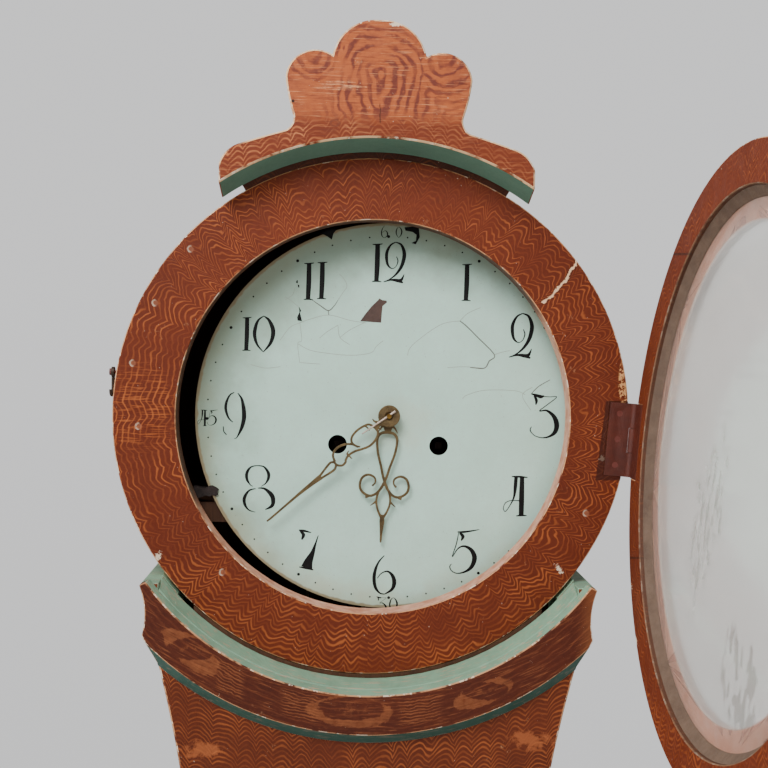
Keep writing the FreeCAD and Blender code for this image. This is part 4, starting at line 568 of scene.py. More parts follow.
# Collar: painted eyes, as angle clockwise from the top, radius, half length and half height, and comb marks
COLLAR_EYES = ((-143, 250.5, 31, 13.5), (-176.6, 250.7, 40, 14.5), (157, 254, 30, 11))
COLLAR_COMBS = ((-57, 20), (45, 22), (-118, 14))


def collar_paint(name):
    paint = Paint(name)
    noise, over, spot = paint.noise, paint.over, paint.spot
    radius = paint.radius()
    across = radius + noise(34, 91, 2) * 5
    line = comb_lines(paint, across, paint.x, 5.2, 1.2, 92.0)
    paint.colour = worn_ground(paint, 93.0, (92, 38, 18), (64, 23, 11))
    over((160, 88, 50), line * 0.25)
    eye_tan = paint.mix(noise(5, 94, 4, 0.7), (132, 70, 38), (178, 108, 66))
    for turn, reach, wide, high in COLLAR_EYES:
        at = clock_place(turn, reach)
        eye = spot(*at, wide, high, 180 - abs(turn) if turn > 0 else abs(turn) - 180, 0.22, turn)
        inner = spot(at[0] + 1, at[1] + 2.5, wide * 0.74, high * 0.74, 0, 0.28, turn + 1)
        ring = eye.fade(0.88, 0.96) * inner.smooth(0.9, 1.02)
        core = noise(4, turn, 4, 0.7).smooth(0.5, 0.8) * inner.fade(0.2, 0.8)
        over(eye_tan, ring.most(core * 0.6) * 0.42)
    for middle, half in COLLAR_COMBS:
        teeth = abs((radius / 2.6 + noise(10, 95)).fract() - 0.5)
        marks = teeth.fade(0.1, 0.25) * abs(paint.x - middle).fade(half * 0.6, half)
        marks = marks * radius.within(243, 262, 3)
        over(eye_tan, marks * 0.45)
    sagging = paint.z + paint.x * paint.x * -0.0016
    grain = noise(1, 89, 4, 0.7, place=(paint.x / 26, paint.y, sagging / 1.6))
    over((168, 100, 60), grain.smooth(0.6, 0.85) * 0.35)
    over((54, 22, 12), grain.smooth(0.4, 0.15) * 0.4)
    scuffs(paint, 0.4, 96.0)
    over((170, 104, 62), paint.x.smooth(176, 196) * 0.3)
    painted_relief(paint, line)
    # worn edges, then the green of the hollow, and of the bevel below in a much darker green: painted shade
    # on a face that turns down
    away = paint.away()
    worn_arrises(paint, 0.85, 0.3, 0.4)
    hollow = (-away).smooth(0.25, 0.4) * paint.normal_y.smooth(-0.4, -0.3)
    over(green_of(paint, GREEN, 97.0, 0.75), hollow)
    bevel = away.smooth(0.6, 0.67) * (-paint.normal_y).smooth(0.5, 0.6)
    over(green_of(paint, (56, 88, 76), 98.0, 0.15), bevel)
    return old_gloss(paint, 0.5, 0.25)


def green_of(paint, tone, seed, wear):
    """The green of the mouldings: cloudy, with pinkish streaks where it is rubbed through."""
    red, green, blue, solid = srgb(*tone)
    dark = (red * 0.72, green * 0.72, blue * 0.72, solid)
    colour = paint.mix(paint.noise(18, seed, 5, 0.65), dark, tone)
    streaks = paint.noise(1, seed, 4, 0.7, place=(paint.x / 26, paint.y / 2, paint.z / 5))
    return paint.mix(streaks.smooth(0.62, 0.8) * wear, colour, (196, 152, 128))


def green_paint(name):
    paint = Paint(name)
    paint.colour = green_of(paint, GREEN, 3.0, 0.3)
    worn_arrises(paint, 0.6)
    painted_relief(paint, paint.noise(12, 4.0))
    return old_gloss(paint, 0.45, 0.4)


def plain_paint(name, light, dark, size, seed, rough, relief, **fixed):
    """Cloudy colour with fine specks and a soft relief."""
    paint = Paint(name)
    cloud = paint.noise(size, seed, 5, 0.6)
    speck = paint.noise(size / 12, seed + 3, 3, 0.7)
    paint.colour = paint.mix(cloud * 0.65 + speck * 0.35, dark, light)
    paint.bump(speck, relief, 0.7)
    paint.bump(paint.noise(0.8, seed + 6, 2), 0.05, 0.5)
    return paint.finish(paint.noise(size / 3, seed + 9, 3) * 0.25 + (rough - 0.12), **fixed)


def wood_paint(name, light, dark):
    """Bare pine: long upright grain with rings and a few dark streaks."""
    paint = Paint(name)
    place = (paint.x, paint.y, paint.z / 14)
    rings = paint.noise(7, 0, 4, 0.6, place=place, twist=0.6)
    fine = paint.noise(1.1, 3, 3, 0.7, place=place)
    paint.colour = paint.mix(rings * 0.6 + fine * 0.4, dark, light)
    paint.bump(fine, 0.12, 0.6)
    paint.bump(rings, 0.3, 0.4)
    return paint.finish(fine * 0.15 + 0.62, Specular_IOR_Level=0.3)


def dial_paint(name):
    paint = Paint(name)
    noise, over, spot = paint.noise, paint.over, paint.spot
    radius = paint.radius(DIAL_X, DIAL_UP)
    cloud = noise(70, 3, 4, 0.6)
    paint.colour = paint.mix(cloud, (192, 227, 209), (205, 241, 225))
    mottle = noise(5, 4, 5, 0.7)
    over((180, 196, 178), mottle * 0.18)
    stain = spot(HANDS_X + 8, -8, 40, 30, 0, 0.8, 5).fade(0.3, 1.1)
    over((206, 196, 162), stain * 0.22)
    yellow = (radius + noise(30, 6, 4) * 16).smooth(158, 184)
    over((198, 196, 160), yellow * 0.5)
    # painted shadow: the dial is darker towards its top and left, where the hood ring shades it
    slant = (paint.up - DIAL_UP) * 0.25 - (paint.x - DIAL_X) * 0.22
    painted_ring_shadow = (radius + slant + noise(36, 7, 4, 0.6) * 34).smooth(150, 226)
    over((112, 120, 92), painted_ring_shadow * 0.55)
    speck = noise(1.4, 8, 2, 0.7).smooth(0.9, 0.97)
    over((120, 122, 104), speck * 0.5)
    rim = (radius + noise(8, 9, 3) * 1.6).smooth(DIAL_RADIUS_WORN, DIAL_RADIUS_WORN + 1.6)
    over((150, 128, 92), rim * 0.85)
    over((96, 70, 50), (-paint.normal_y).fade(0.3, 0.7))
    paint.bump(noise(30, 12, 3), 0.5, 0.5)
    paint.bump(noise(1.3, 13, 3, 0.7), 0.04, 0.6)
    return paint.finish(noise(18, 15, 3) * 0.2 + 0.36, Specular_IOR_Level=0.45)


def metal_paint(name, light, dark, tarnish, rough, seed, size=12.0, metallic=1.0, shade_depth=None):
    """Old metal, spotted with tarnish; the last argument is a depth in mm, in front of which the piece is
    painted black as shade.
    """
    paint = Paint(name)
    cloud = paint.noise(size, seed, 5, 0.65)
    paint.colour = paint.mix(cloud, dark, light)
    spots = paint.noise(size / 5, seed + 4, 4, 0.7).smooth(0.62, 0.8)
    paint.over(tarnish, spots * 0.6)
    if shade_depth is not None:
        # painted shade: black in front of that depth
        paint.over((22, 16, 14), paint.y.fade(shade_depth - 1, shade_depth))
    paint.bump(paint.noise(1.0, seed + 7, 3), 0.06, 0.7)
    return paint.finish(spots * 0.25 + (cloud * 0.15 + rough), Metallic=metallic)


def glass_paint(name):
    """Old glass with a film of dust, hand smears and a dirty rim."""
    paint = Paint(name, opened=True)
    noise, over, spot = paint.noise, paint.over, paint.spot
    radius = paint.radius()
    cloud = noise(80, 2, 4, 0.6)
    paint.colour = paint.mix(cloud, (248, 247, 243), (254, 254, 250))
    streak = noise(1, 4, 5, 0.75, place=(paint.x / 6, 0, paint.z / 34))
    feather = spot(38, -45, 34, 76, 12, 0.7, 5).fade(0.6, 1.05)
    smear = streak.smooth(0.5, 0.66) * feather
    over((176, 170, 158), smear * 0.5)
    fingers = noise(1, 7, 2, place=(paint.x / 9, 0, paint.z / 24)).smooth(0.5, 0.58)
    fingers = fingers * spot(-62, -128, 46, 36, 30, 0.6, 6).fade(0.7, 1.05)
    over((136, 130, 116), fingers * 0.4)
    lip = radius.smooth(172, 173.5)
    over((240, 196, 178), lip * 0.8)
    rim = (radius + cloud * 14).smooth(176, 192)
    over((206, 160, 138), rim * 0.3)
    paint.bump(noise(90, 5, 1), 0.5, 0.4)
    return paint.finish(smear * 0.2 + 0.12, Transmission_Weight=0.72, IOR=1.46)


BRASS = ((190, 148, 74), (138, 100, 48), (96, 72, 40))
PAINTS = {
    "ring": ring_paint("ring_graining"),
    "bezel": ring_paint("door_ring_graining", opened=True),
    "trunk": board_paint("trunk_graining", 3.0, green_hollow=True),
    "plinth": board_paint("plinth_graining", 9.0),
    "door": board_paint("door_graining", 14.0, arris=0.5, upright=True),
    "hoop": board_paint("hood_side_graining", 17.0, RED_BROWN, DEEP_BROWN, 0.35),
    "crest": crest_paint("crest_graining"),
    # the block behind the crest: a darker copy of the hood's graining, as painted shade under the crest
    "block": board_paint("crest_block_shaded_graining", 18.0, (84, 40, 24), (54, 26, 16), 0.15),
    "collar": collar_paint("collar_graining"),
    "collar_end": board_paint("collar_end_graining", 27.0, RED_BROWN, DEEP_BROWN, 0.5, green_hollow=True),
    "green": green_paint("green_moulding"),
    "bare": wood_paint("bare_pine", (176, 126, 82), (120, 78, 48)),
    "dark_bare": wood_paint("old_pine_inside", (92, 60, 40), (50, 30, 20)),
    "dial": dial_paint("dial_enamel"),
    "dial_black": plain_paint("dial_black_paint", (26, 24, 24), (12, 11, 11), 6, 31, 0.6, 0.05,
                              Specular_IOR_Level=0.2),
    "dial_crack": plain_paint("dial_crack", (120, 122, 108), (70, 66, 56), 8, 32, 0.6, 0.05),
    "dial_hairline": plain_paint("dial_hairline", (168, 178, 164), (138, 146, 130), 8, 33, 0.6, 0.05),
    "dial_loss": plain_paint("dial_bare_iron", (96, 68, 56), (58, 42, 38), 9, 34, 0.6, 0.1),
    "putty": plain_paint("glazing_putty", (122, 98, 80), (82, 62, 50), 14, 6, 0.8, 0.6),
    "painted_iron": plain_paint("painted_iron", (99, 36, 14), (62, 18, 8), 12, 7, 0.5, 0.3),
    "screw_head": plain_paint("painted_screw_head", (128, 62, 52), (84, 30, 20), 5, 37, 0.4, 0.2),
    "clip": plain_paint("rusty_clip", (58, 44, 40), (22, 16, 14), 5, 36, 0.7, 0.4),
    "cord": plain_paint("hemp_cord", (170, 146, 108), (112, 92, 66), 3, 8, 0.85, 0.5),
    "glass": glass_paint("wavy_glass"),
    "iron": metal_paint("old_iron", (80, 64, 52), (36, 28, 24), (92, 50, 28), 0.5, 2, metallic=0.6),
    "bronze": metal_paint("dark_bronze", (132, 110, 72), (80, 64, 42), (58, 40, 28), 0.42, 3, 5.0, 0.6),
    "brass": metal_paint("old_brass", *BRASS, 0.32, 4),
    # the arbors' ends behind the winding holes are painted black as shade
    "arbor": metal_paint("old_brass_shade_black_arbor", *BRASS, 0.32, 4, shade_depth=-10.0),
    # the front plate, seen deep behind the winding holes, is painted nearly black brass as shade
    "shaded_brass": metal_paint("brass_painted_dark_as_shade", (52, 38, 22), (24, 18, 14), (24, 18, 14), 0.5, 14),
    "steel": metal_paint("worn_steel", (150, 148, 142), (104, 100, 94), (90, 70, 56), 0.34, 5),
    "bell": metal_paint("bell_metal", (176, 150, 96), (128, 100, 58), (98, 84, 56), 0.28, 6),
    "pin": metal_paint("taper_pin_steel", (214, 196, 180), (170, 150, 134), (170, 150, 134), 0.35, 9,
                       metallic=0.5),
}

# The nodes that each paint is for
NODE_PAINTS = {
    "ring": "hood_ring",
    "hoop": "hood_hoop",
    "block": "hood_braces",
    "crest": "crest_board",
    "bezel": "bezel_ring",
    "glass": "bezel_glass",
    "putty": "bezel_putty",
    "screw_head": "ring_screws",
    "painted_iron": "ring_hinge_leaf hinge_pin bezel_hinge_leaf trunk_hinge_frame_leaves"
                    " trunk_hinge_door_leaves",
    "iron": "latch_nail latch_hook movement_brackets going_weight strike_weight",
    "bare": "floor_board",
    "plinth": "plinth_boards",
    "green": "plinth_mouldings",
    "trunk": "trunk_front trunk_sides",
    "door": "trunk_door",
    "dark_bare": "backboard neck_boards seat_board",
    "collar": "collar_front",
    "collar_end": "collar_returns",
    "cord": "line_ends going_line strike_line",
    "dial": "dial",
    "clip": "dial_clip",
    "bell": "bell",
    "bronze": "minute_hand hour_hand cannon_pinion",
    "pin": "hand_pin",
    "shaded_brass": "front_plate",
    "brass": "back_plate pillars trunk_door_knob minute_wheel hour_wheel escape_wheel third_wheel"
             " centre_wheel going_pulley strike_pulley pin_wheel pendulum_bob",
    "arbor": "going_great_wheel going_drum strike_great_wheel strike_drum",
    "steel": "fly hammer anchor pendulum_rod",
}


def coat(piece, paint):
    piece.data.materials.clear()
    piece.data.materials.append(PAINTS[paint])


for paint_name, node_names in NODE_PAINTS.items():
    for node_name in node_names.split():
        coat(frame["nodes"][node_name], paint_name)


def body_of_node(node):
    bodies = frame["record"]["behaviour"]["bodies"]
    return next(body for body, nodes in bodies.items() if node in nodes)


def stand_for(piece, node):
    """A piece moves with its node's body and is shown in the node's place."""
    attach(piece, body_of_node(node))
    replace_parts(piece, node)


def eased(node, width):
    """The node's board with its arrises worn round, by a width in mm."""
    mesh = frame["nodes"][node].data.copy()
    piece = new_piece(node + "_worn", mesh)
    bm = bmesh.new()
    bm.from_mesh(mesh)
    bmesh.ops.remove_doubles(bm, verts=bm.verts, dist=1e-6)
    bmesh.ops.dissolve_limit(bm, angle_limit=math.radians(0.4), verts=bm.verts, edges=bm.edges)
    bm.to_mesh(mesh)
    bm.free()
    bevel = piece.modifiers.new("arris", "BEVEL")
    bevel.width = width * MM
    bevel.segments = 2
    bevel.limit_method = "ANGLE"
    bevel.angle_limit = math.radians(28)
    bevel.use_clamp_overlap = True
    for polygon in mesh.polygons:
        polygon.use_smooth = True
    mesh.set_sharp_from_angle(angle=math.radians(40))
    stand_for(piece, node)


EASED = {
    "hood_ring": 1.2, "bezel_ring": 1.0, "crest_board": 1.4, "collar_front": 0.9, "collar_returns": 0.8,
    "trunk_front": 1.6, "trunk_sides": 1.2, "trunk_door": 1.2, "plinth_boards": 1.2, "plinth_mouldings": 1.0,
    "ring_hinge_leaf": 0.5, "bezel_hinge_leaf": 0.5,
}
for board_name, ease in EASED.items():
    eased(board_name, ease)


# Strokes: a brush or a file follows a few points (x, up, width), all in mm
def smooth_way(points, steps=6):
    """The points of a Catmull-Rom curve through the given ones."""
    ends = [points[0], *points, points[-1]]
    way = []
    for a, b, c, d in zip(ends, ends[1:], ends[2:], ends[3:]):
        for step in range(steps):
            t = step / steps
            way.append([0.5 * (2 * q + (r - p) * t + (2 * p - 5 * q + 4 * r - s) * t * t
                               + (3 * q - p - 3 * r + s) * t ** 3) for p, q, r, s in zip(a, b, c, d)])
    way.append(list(points[-1]))
    return way


def point(bm, x, depth, up):
    """A corner at a place in mm, with its height over the hood's centre."""
    return bm.verts.new((x * MM, depth * MM, (HOOD_HEIGHT + up) * MM))


def join_rings(bm, rings):
    """Faces between each ring of corners and the next."""
    for here, there in zip(rings, rings[1:]):
        for i in range(len(here)):
            k = (i + 1) % len(here)
            bm.faces.new((here[i], here[k], there[k], there[i]))


def add_prism(bm, outline, front, back):
    """A closed plate with an outline (x, up), between two depths."""
    near, far = [[point(bm, x, depth, up) for x, up in outline] for depth in (front, back)]
    bm.faces.new(near)
    bm.faces.new(far[::-1])
    join_rings(bm, (far, near))


def add_stroke(bm, points, place, front, back, usual):
    """A ribbon along the stroke's curve; `place` puts its points into the front view, and a point that
    gives no width of its own has the usual one."""
    way = smooth_way([(*point, usual)[:3] for point in points])
    rings = []
    for i, (x, z, width) in enumerate(way):
        x0, z0 = way[max(i - 1, 0)][:2]
        x1, z1 = way[min(i + 1, len(way) - 1)][:2]
        half = width / 2 / (math.hypot(x1 - x0, z1 - z0) or 1.0)
        across_x, across_z = (z0 - z1) * half, (x1 - x0) * half
        left, right = place(x + across_x, z + across_z), place(x - across_x, z - across_z)
        corners_of_ring = ((left, front), (right, front), (right, back), (left, back))
        rings.append([point(bm, x, depth, up) for (x, up), depth in corners_of_ring])
    join_rings(bm, rings)
    bm.faces.new(rings[0])
    bm.faces.new(rings[-1][::-1])


def about(x0, up0, scale=1.0, turn=0.0):
    """A placing of a stroke's points: scaled, turned clockwise in degrees and moved."""
    cosine, sine = math.cos(math.radians(turn)), math.sin(math.radians(turn))
    return lambda x, z: (x0 + scale * (x * cosine + z * sine), up0 + scale * (z * cosine - x * sine))


def turns_of(count):
    """The angles of a circle's parts, in radians."""
    return [2 * math.pi * i / count for i in range(count)]


def mesh_of(bm, name):
    bmesh.ops.recalc_face_normals(bm, faces=bm.faces)
    mesh = bpy.data.meshes.new(name)
    bm.to_mesh(mesh)
    bm.free()
    return mesh


# The dial's painted pieces: their front and back, and how far crossing strokes are set apart
PAINT_FRONT = DIAL_FRONT - 0.12
PAINT_BACK = DIAL_FRONT + 0.1
LAYER_STEP = 0.004

# The dial's numerals. Each stroke's places are about the figure's middle, for a figure 38 mm tall.
# A point is x, up and, where it is not 0.7 mm, the width.
STEM = ((0, 16.5, 4.1), (0, 0, 4.6), (-0.5, -16.5, 4.1))
STEM_HEAD = ((-4.5, 16.5, 0.7), (0, 16.5, 1.4), (4.5, 17.2, 0.7))
STEM_FOOT = ((-4.5, -17, 0.7), (-0.5, -16.5, 1.4), (4, -17, 0.7))
FIGURES = {
    "1": (STEM, STEM_HEAD, STEM_FOOT),
    "2": (((1, 20, 0.9), (-4, 17, 1.8), (-7.5, 10.5, 2.9), (-8, 4, 3.1), (-6.5, -3, 2.2), (-2.5, -6.5, 0.9),
           (1.5, -4.5), (3.5, 1, 1.1), (2, 5.5, 0.8)),
          ((1, 20, 0.9), (6.5, 17.5, 2.2), (9.5, 10.5, 3.5), (9.5, 4, 3.8), (7, -4.5, 3.2), (2, -12, 2.1),
           (-4, -17, 1.1), (-10.5, -20)),
          ((-10.5, -20), (-3, -18, 1.8), (3.5, -18.5, 3.3), (9, -20.5, 1.5)),
          ((4, -18.5, 3.2), (7.5, -17.5, 2.7), (10, -12, 0.5))),
    "3": (((-12, 20, 0.9), (-8, 19, 2.2), (-3, 17.5, 3.2), (0, 18.5)),
          ((-9, 18.5, 1.8), (-7, 14, 2.7), (-7.5, 10, 0.9)),
          ((-4, 18, 0.9), (5, 17.5, 0.6), (11.5, 17.5), (4, 11), (-4, 4.5, 0.9), (2.5, 5, 1.8), (9, 0, 3.6),
           (12, -7, 4.7), (11, -14, 3.9), (6, -18.5, 2), (-1, -20, 0.9), (-8, -18), (-12, -13.5, 0.9),
           (-11, -10))),
    "4": (((4.5, 17, 3.9), (4.5, 0, 4.7), (4.5, -17.5, 4.5)),
          ((-5, 17.5, 0.9), (2, 17.5, 1.8), (9.5, 17, 0.9)),
          ((0, -18.5, 0.9), (4.5, -18, 1.6), (9.5, -18)),
          ((-1, 17, 3.2), (-1.5, 8, 3.2), (-2.5, -1, 1.8), (-5.5, -8, 0.9), (-10, -14.5), (-12, -11.5),
           (-10, -6.5), (-5, -4.5), (3.5, -4.5, 0.9))),
    "5": (((-5, 19, 0.9), (0, 19, 1.9), (7, 20, 1.4), (15, 21.5, 0.5)),
          ((-3, 18, 1.8), (0, 15, 3.2), (-1.5, 11, 0.9)),
          ((-4, 18), (-6, 7.5, 0.9), (-9.5, -4), (-4.5, 3.5, 1.1), (1, 6, 1.8), (7.5, 3, 3.4),
           (11, -4, 4.5), (9, -12, 3.6), (3.5, -17, 2), (-4, -19, 0.9), (-9.5, -17, 0.9), (-11.5, -13, 0.9),
           (-10, -10.5))),
    "6": (((0, 18), (-5, 12, 1.6), (-8, 4.5, 2.7), (-9, -3.5, 3.2), (-7.5, -11.5, 2.7), (-3.5, -16.5, 1.4),
           (1, -17.5, 0.9)),
          ((-6, -3), (-2.5, 1.5, 0.9), (3, 3.5, 1.4), (7.5, 0, 3), (9.5, -6.5, 3.9), (7.5, -13, 2.7),
           (1, -17.5, 0.9))),
    "7": (((-9, 17.5, 1.4), (-4, 17, 2), (2, 15.5)),
          ((-8, 17, 1.4), (-5, 13.5, 3.2), (-6.5, 9, 1.2)),
          ((8.5, 13), (6, 5, 1.8), (3.5, -3, 4.1), (0, -11, 7.7), (-1.5, -16.5, 10.4)),
          ((-8.5, -16), (-2.5, -17, 1.8), (4.5, -18.5, 1.1))),
    "8": (((-2, 21.5), (-7.5, 20, 1.4), (-11, 15, 2.7), (-11, 9, 2.5), (-8, 4, 0.9), (-5.5, 2.5, 0.5)),
          ((-2, 21.5), (4, 20.5, 1.4), (8, 15.5, 2.7), (8.5, 10.5, 2.7), (6, 5.5, 1.2), (2, 2.5, 0.5)),
          ((-3, 0.5), (-9, -1.5, 1.6), (-13, -8, 3), (-12.5, -14, 2.5), (-9, -19, 1.2), (-3, -21, 0.5)),
          ((-1, 1), (5, 0.5, 2), (11, -4.5, 3.9), (13, -9.5, 3.9), (12, -15, 3), (6, -18.5))),
    "9": (((0, 21), (-4, 18.5, 1.4), (-7, 12, 2.3), (-7.5, 5.5, 2.5), (-5, -2, 1.6), (-1, -6)),
          ((3, 20.5), (6.5, 15.5, 2.1), (8.5, 7, 3.6), (9, -2, 3.9), (7, -11, 3), (3, -19.5, 0.9),
           (0.5, -21, 0.5)),
          ((-9.5, -10), (-9, -14.5, 0.9), (-6.5, -17.5, 0.9))),
    "0": (((0, 16), (-5, 12, 2), (-7.5, 5, 3.2), (-8, -2, 3.2), (-5.5, -10, 2), (0, -16.5)),
          ((0, 16), (4.5, 12.5, 2.5), (8, 5.5, 3.8), (8.5, -1, 3.8), (6, -9, 2.7), (0, -16.5))),
}
# Figure, its middle about the hands' axis (mm) and its scale
DIAL_FIGURES = (
    ("1", -13, 138, 1), ("2", 2.5, 139, 0.9), ("1", 68.5, 122, 0.97), ("2", 119, 75, 1), ("3", 141.5, 2, 1),
    ("4", 118.5, -71.5, 1), ("5", 70, -124.5, 1), ("6", -1.5, -146, 1), ("7", -70.5, -123.5, 1),
    ("8", -116.5, -69, 1), ("9", -140, -2.5, 1), ("1", -129.5, 71.5, 0.88), ("0", -114.5, 72, 1),
    ("1", -74.5, 120, 0.97), ("1", -62.5, 121, 0.97), ("4", -168, -5, 0.4), ("5", -160, -5, 0.35),
    ("3", -3.5, -173.5, 0.38), ("0", 7.5, -173, 0.4), ("6", -7, 166, 0.3), ("0", 6, 166, 0.3),
)


def make_figures():
    bm = bmesh.new()
    layer = 0
    for figure, x, up, scale in DIAL_FIGURES:
        for stroke in FIGURES[figure]:
            layer = (layer + 1) % 7
            place = about(HANDS_X + x, up, scale)
            add_stroke(bm, stroke, place, PAINT_FRONT - layer * LAYER_STEP, PAINT_BACK, 0.7)
    painted("dial_numerals", bm, "dial_black")


def painted(name, bm, paint, body="case"):
    piece = new_piece(name, mesh_of(bm, name))
    coat(piece, paint)
    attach(piece, body)
    return piece


# Minute dots: the circle that they lie on is a little off the hands' axis and turned (degrees)
DOTS_X, DOTS_UP = 16.0, -2.4
DOTS_RADIUS = 164.3
DOTS_TURN = -1.1


def make_minute_dots():
    bm = bmesh.new()
    for minute in range(60):
        x, up = clock_place(minute * 6 + DOTS_TURN, DOTS_RADIUS)
        place = about(DOTS_X + x, DOTS_UP + up, 1.35 if minute % 5 == 0 else 0.75)
        outline = [place(math.cos(t), math.sin(t)) for t in turns_of(12)]
        add_prism(bm, outline, PAINT_FRONT - 0.04, PAINT_BACK)
    painted("dial_minute_dots", bm, "dial_black")


# Cracks of the dial's paint and places where it is lost, about the hands' axis
CRACKS = (
    ((63, 87, 0.7), (69, 82.5), (79.5, 72.5), (95, 57), (90.5, 51), (86, 44.5), (73, 45, 0.5)),
    ((-71.5, 103.5, 0.5), (-64, 98.5), (-56.5, 94), (-51.5, 98, 0.7), (-48, 103.5, 0.5)),
    ((-56.5, 94, 0.7), (-56, 90, 0.7)),
    ((130, 22.5, 0.7), (136.5, 29, 0.7), (146.5, 35, 0.5)),
    ((-83, 96.5), (-82, 93.5, 0.7)),
)
HAIRLINES = (
    ((63, 87), (70, 94), (81.5, 99.5)),
    ((95, 57), (102.5, 59.5), (109, 61)),
    ((86, 44.5), (68.5, 45.5), (52.5, 44.5)),
    ((-48, 103.5), (-43.5, 110.5), (-40, 116.5), (-43, 123), (-47, 127)),
    ((-82, 82.5), (-80, 67), (-83.5, 63.5), (-81.5, 46.5)),
    ((-82, 82.5), (-72.5, 86), (-56, 90), (-36.5, 85.5), (-22, 83.5)),
    ((-95.5, 105.5), (-90.5, 102.5), (-83.5, 97)),
    ((-64, 69), (-57, 75), (-47.5, 81)),
    ((-83.5, 63.5), (-72.5, 58), (-57.5, 55.5), (-35.5, 54), (-17.5, 56.5), (-12.5, 62.5), (-6.5, 67.5)),
    ((-125.5, 44), (-112.5, 41), (-99, 42.5)),
    ((-81.5, 46.5), (-63, 45.5)),
    ((-47.5, 81), (-45.5, 70), (-36.5, 63.5)),
    ((-23, 84), (-36.5, 77), (-45.5, 70)),
    ((-99.5, 66.5), (-91, 78), (-82, 82.5)),
    ((-87, 114), (-89, 107.5), (-95.5, 103)),
    ((67, 16.5), (71.5, 20), (87.5, 24.5), (114.5, 24.5), (124, 21)),
    ((130.5, 28), (121.5, 20.5), (129.5, 7)),
    ((16, 55), (20.5, 64.5), (45, 83), (63, 87)),
)
BROWN_LOSS = ((-27.5, 85), (-8.5, 84), (-8, 93), (-7.5, 99), (-3.5, 102.5), (-4, 104), (-8, 104.5),
              (-10.5, 106), (-11.5, 104.5), (-17.5, 98.5), (-23, 91.5))
DARK_LOSSES = (
    ((-83, 97), (-81, 93.5), (-82, 91.5), (-80, 84), (-84, 84.5), (-84.5, 87.5), (-82.5, 92)),
    ((-85.5, 120.5), (-84.5, 121), (-84.5, 118), (-86, 118.5)),
    ((-84.5, 117), (-83, 116.5), (-83, 114), (-84, 114.5)),
    ((16, 171), (20.5, 171.5), (24, 170), (25, 162), (21.5, 155.5), (17.5, 156.5), (21.5, 158.5), (22, 164),
     (18.5, 166.5), (12, 167.5), (11, 170.5)),
    ((-64.5, 163.5), (-59.5, 165.5), (-56, 167.5), (-50.5, 167), (-53, 163.5), (-54.5, 158), (-58, 160.5),
     (-61, 162)),
)


def make_dial_wear():
    place = about(HANDS_X, 0)
    bm = bmesh.new()
    for stroke in CRACKS:
        add_stroke(bm, stroke, place, PAINT_FRONT + 0.02, PAINT_BACK, 0.9)
    painted("dial_cracks", bm, "dial_crack")
    bm = bmesh.new()
    for line in HAIRLINES:
        add_stroke(bm, line, place, PAINT_FRONT + 0.04, PAINT_BACK, 0.4)
    painted("dial_hairlines", bm, "dial_hairline")
    for name, outlines, paint in (("dial_brown_loss", (BROWN_LOSS,), "dial_loss"),
                                  ("dial_dark_losses", DARK_LOSSES, "dial_black")):
        bm = bmesh.new()
        for outline in outlines:
            add_prism(bm, [place(*corner) for corner in outline], PAINT_FRONT - 0.05, PAINT_BACK)
        painted(name, bm, paint)


# Hands. Each stroke's places are across (x) and along (z) the hand, from its axis, before the hand is turned.
HOUR_HALF = (
    ((0, 15, 2.7), (5.5, 16, 2.5), (8.5, 19.5, 2.5), (9, 25), (7.5, 35), (4, 46.5), (1.5, 56), (-1.5, 63),
     (-4.5, 69, 2), (-6, 74.5, 2), (-6, 80.5, 1.9), (-4, 87, 2), (-1, 92.5)),
    ((4, 9), (6.5, 11.5, 1.6), (9, 15.5, 0.7)),
    ((11, 64.5, 1.8), (8.5, 61.5, 1.6), (8.5, 58, 1.8), (11, 55.5, 2), (15.5, 54.5), (20, 57), (22, 62),
     (21.5, 67.5), (18, 71.5), (12.5, 73.5), (7.5, 71.5), (3, 66.5), (1, 62.5)),
    ((12.5, 73.5, 1.4), (14.5, 74.5, 1.8), (16.5, 75, 2)),
    ((6, 77.5, 1.8), (8.5, 80, 1.4), (11.5, 82.5, 0.7)),
)
HOUR_MIDDLE = (
    ((0, 5.5, 13.7), (0, 9.5, 9.1), (0, 13, 6.4), (0, 16, 3.2)),
    ((0, 90, 3.2), (0, 95.5, 4.5), (0, 102, 3.4), (0, 110, 2.2), (0, 113.5, 2), (0, 115.5, 1.2)),
)
MINUTE_STROKES = (
    ((0.5, 7, 6.8), (0.5, 12, 5), (1, 16.5, 2.3)),
    ((2, 11, 2.3), (5, 13, 1.6), (8, 13, 0.8)),
    ((0.5, 14.5, 2.3), (-2.5, 14, 1.6), (-4.5, 13, 0.8)),
    ((1, 16.5), (6, 18.5), (8, 23), (9, 30), (8, 36.5), (5.5, 40), (2, 41), (-2, 39.5, 1.9),
     (-4, 37.5, 1.4)),
    ((1, 16.5), (-4.5, 17), (-8, 22.5), (-9, 30), (-7, 37), (-4, 44), (-3, 51), (-5, 56)),
    ((7, 22, 1.5), (4, 21.5, 1.2), (1.5, 22, 0.8)),
    ((-3, 39.5, 1.5), (2, 41.5, 1.9), (6.5, 46.5), (8.5, 52.5), (8, 58.5), (5, 62), (0.5, 63.5)),
    ((-5.5, 55.5), (-6.5, 60), (-4, 63.5), (-0.5, 64.5), (3.5, 62.5, 1.9)),
    ((-2.5, 50.5, 1.7), (-6, 50.5, 1.2), (-7.5, 50, 0.7)),
    ((-1.5, 51.5, 1.5), (-0.5, 49.5, 1), (0, 47.5, 0.7)),
    ((0, 64), (2.5, 67), (2, 71.5), (0.5, 78.5), (-1, 85.5, 2.4)),
    ((-2.5, 65), (-4.5, 68.5), (-4, 74.5), (-3, 81), (-2, 88, 2.4)),
    ((-1.5, 82.5, 5), (-1, 91.5, 3.9), (-0.5, 106.5, 2.7), (-0.5, 124, 2), (-0.5, 142, 1.8), (0, 145, 1.2)),
)
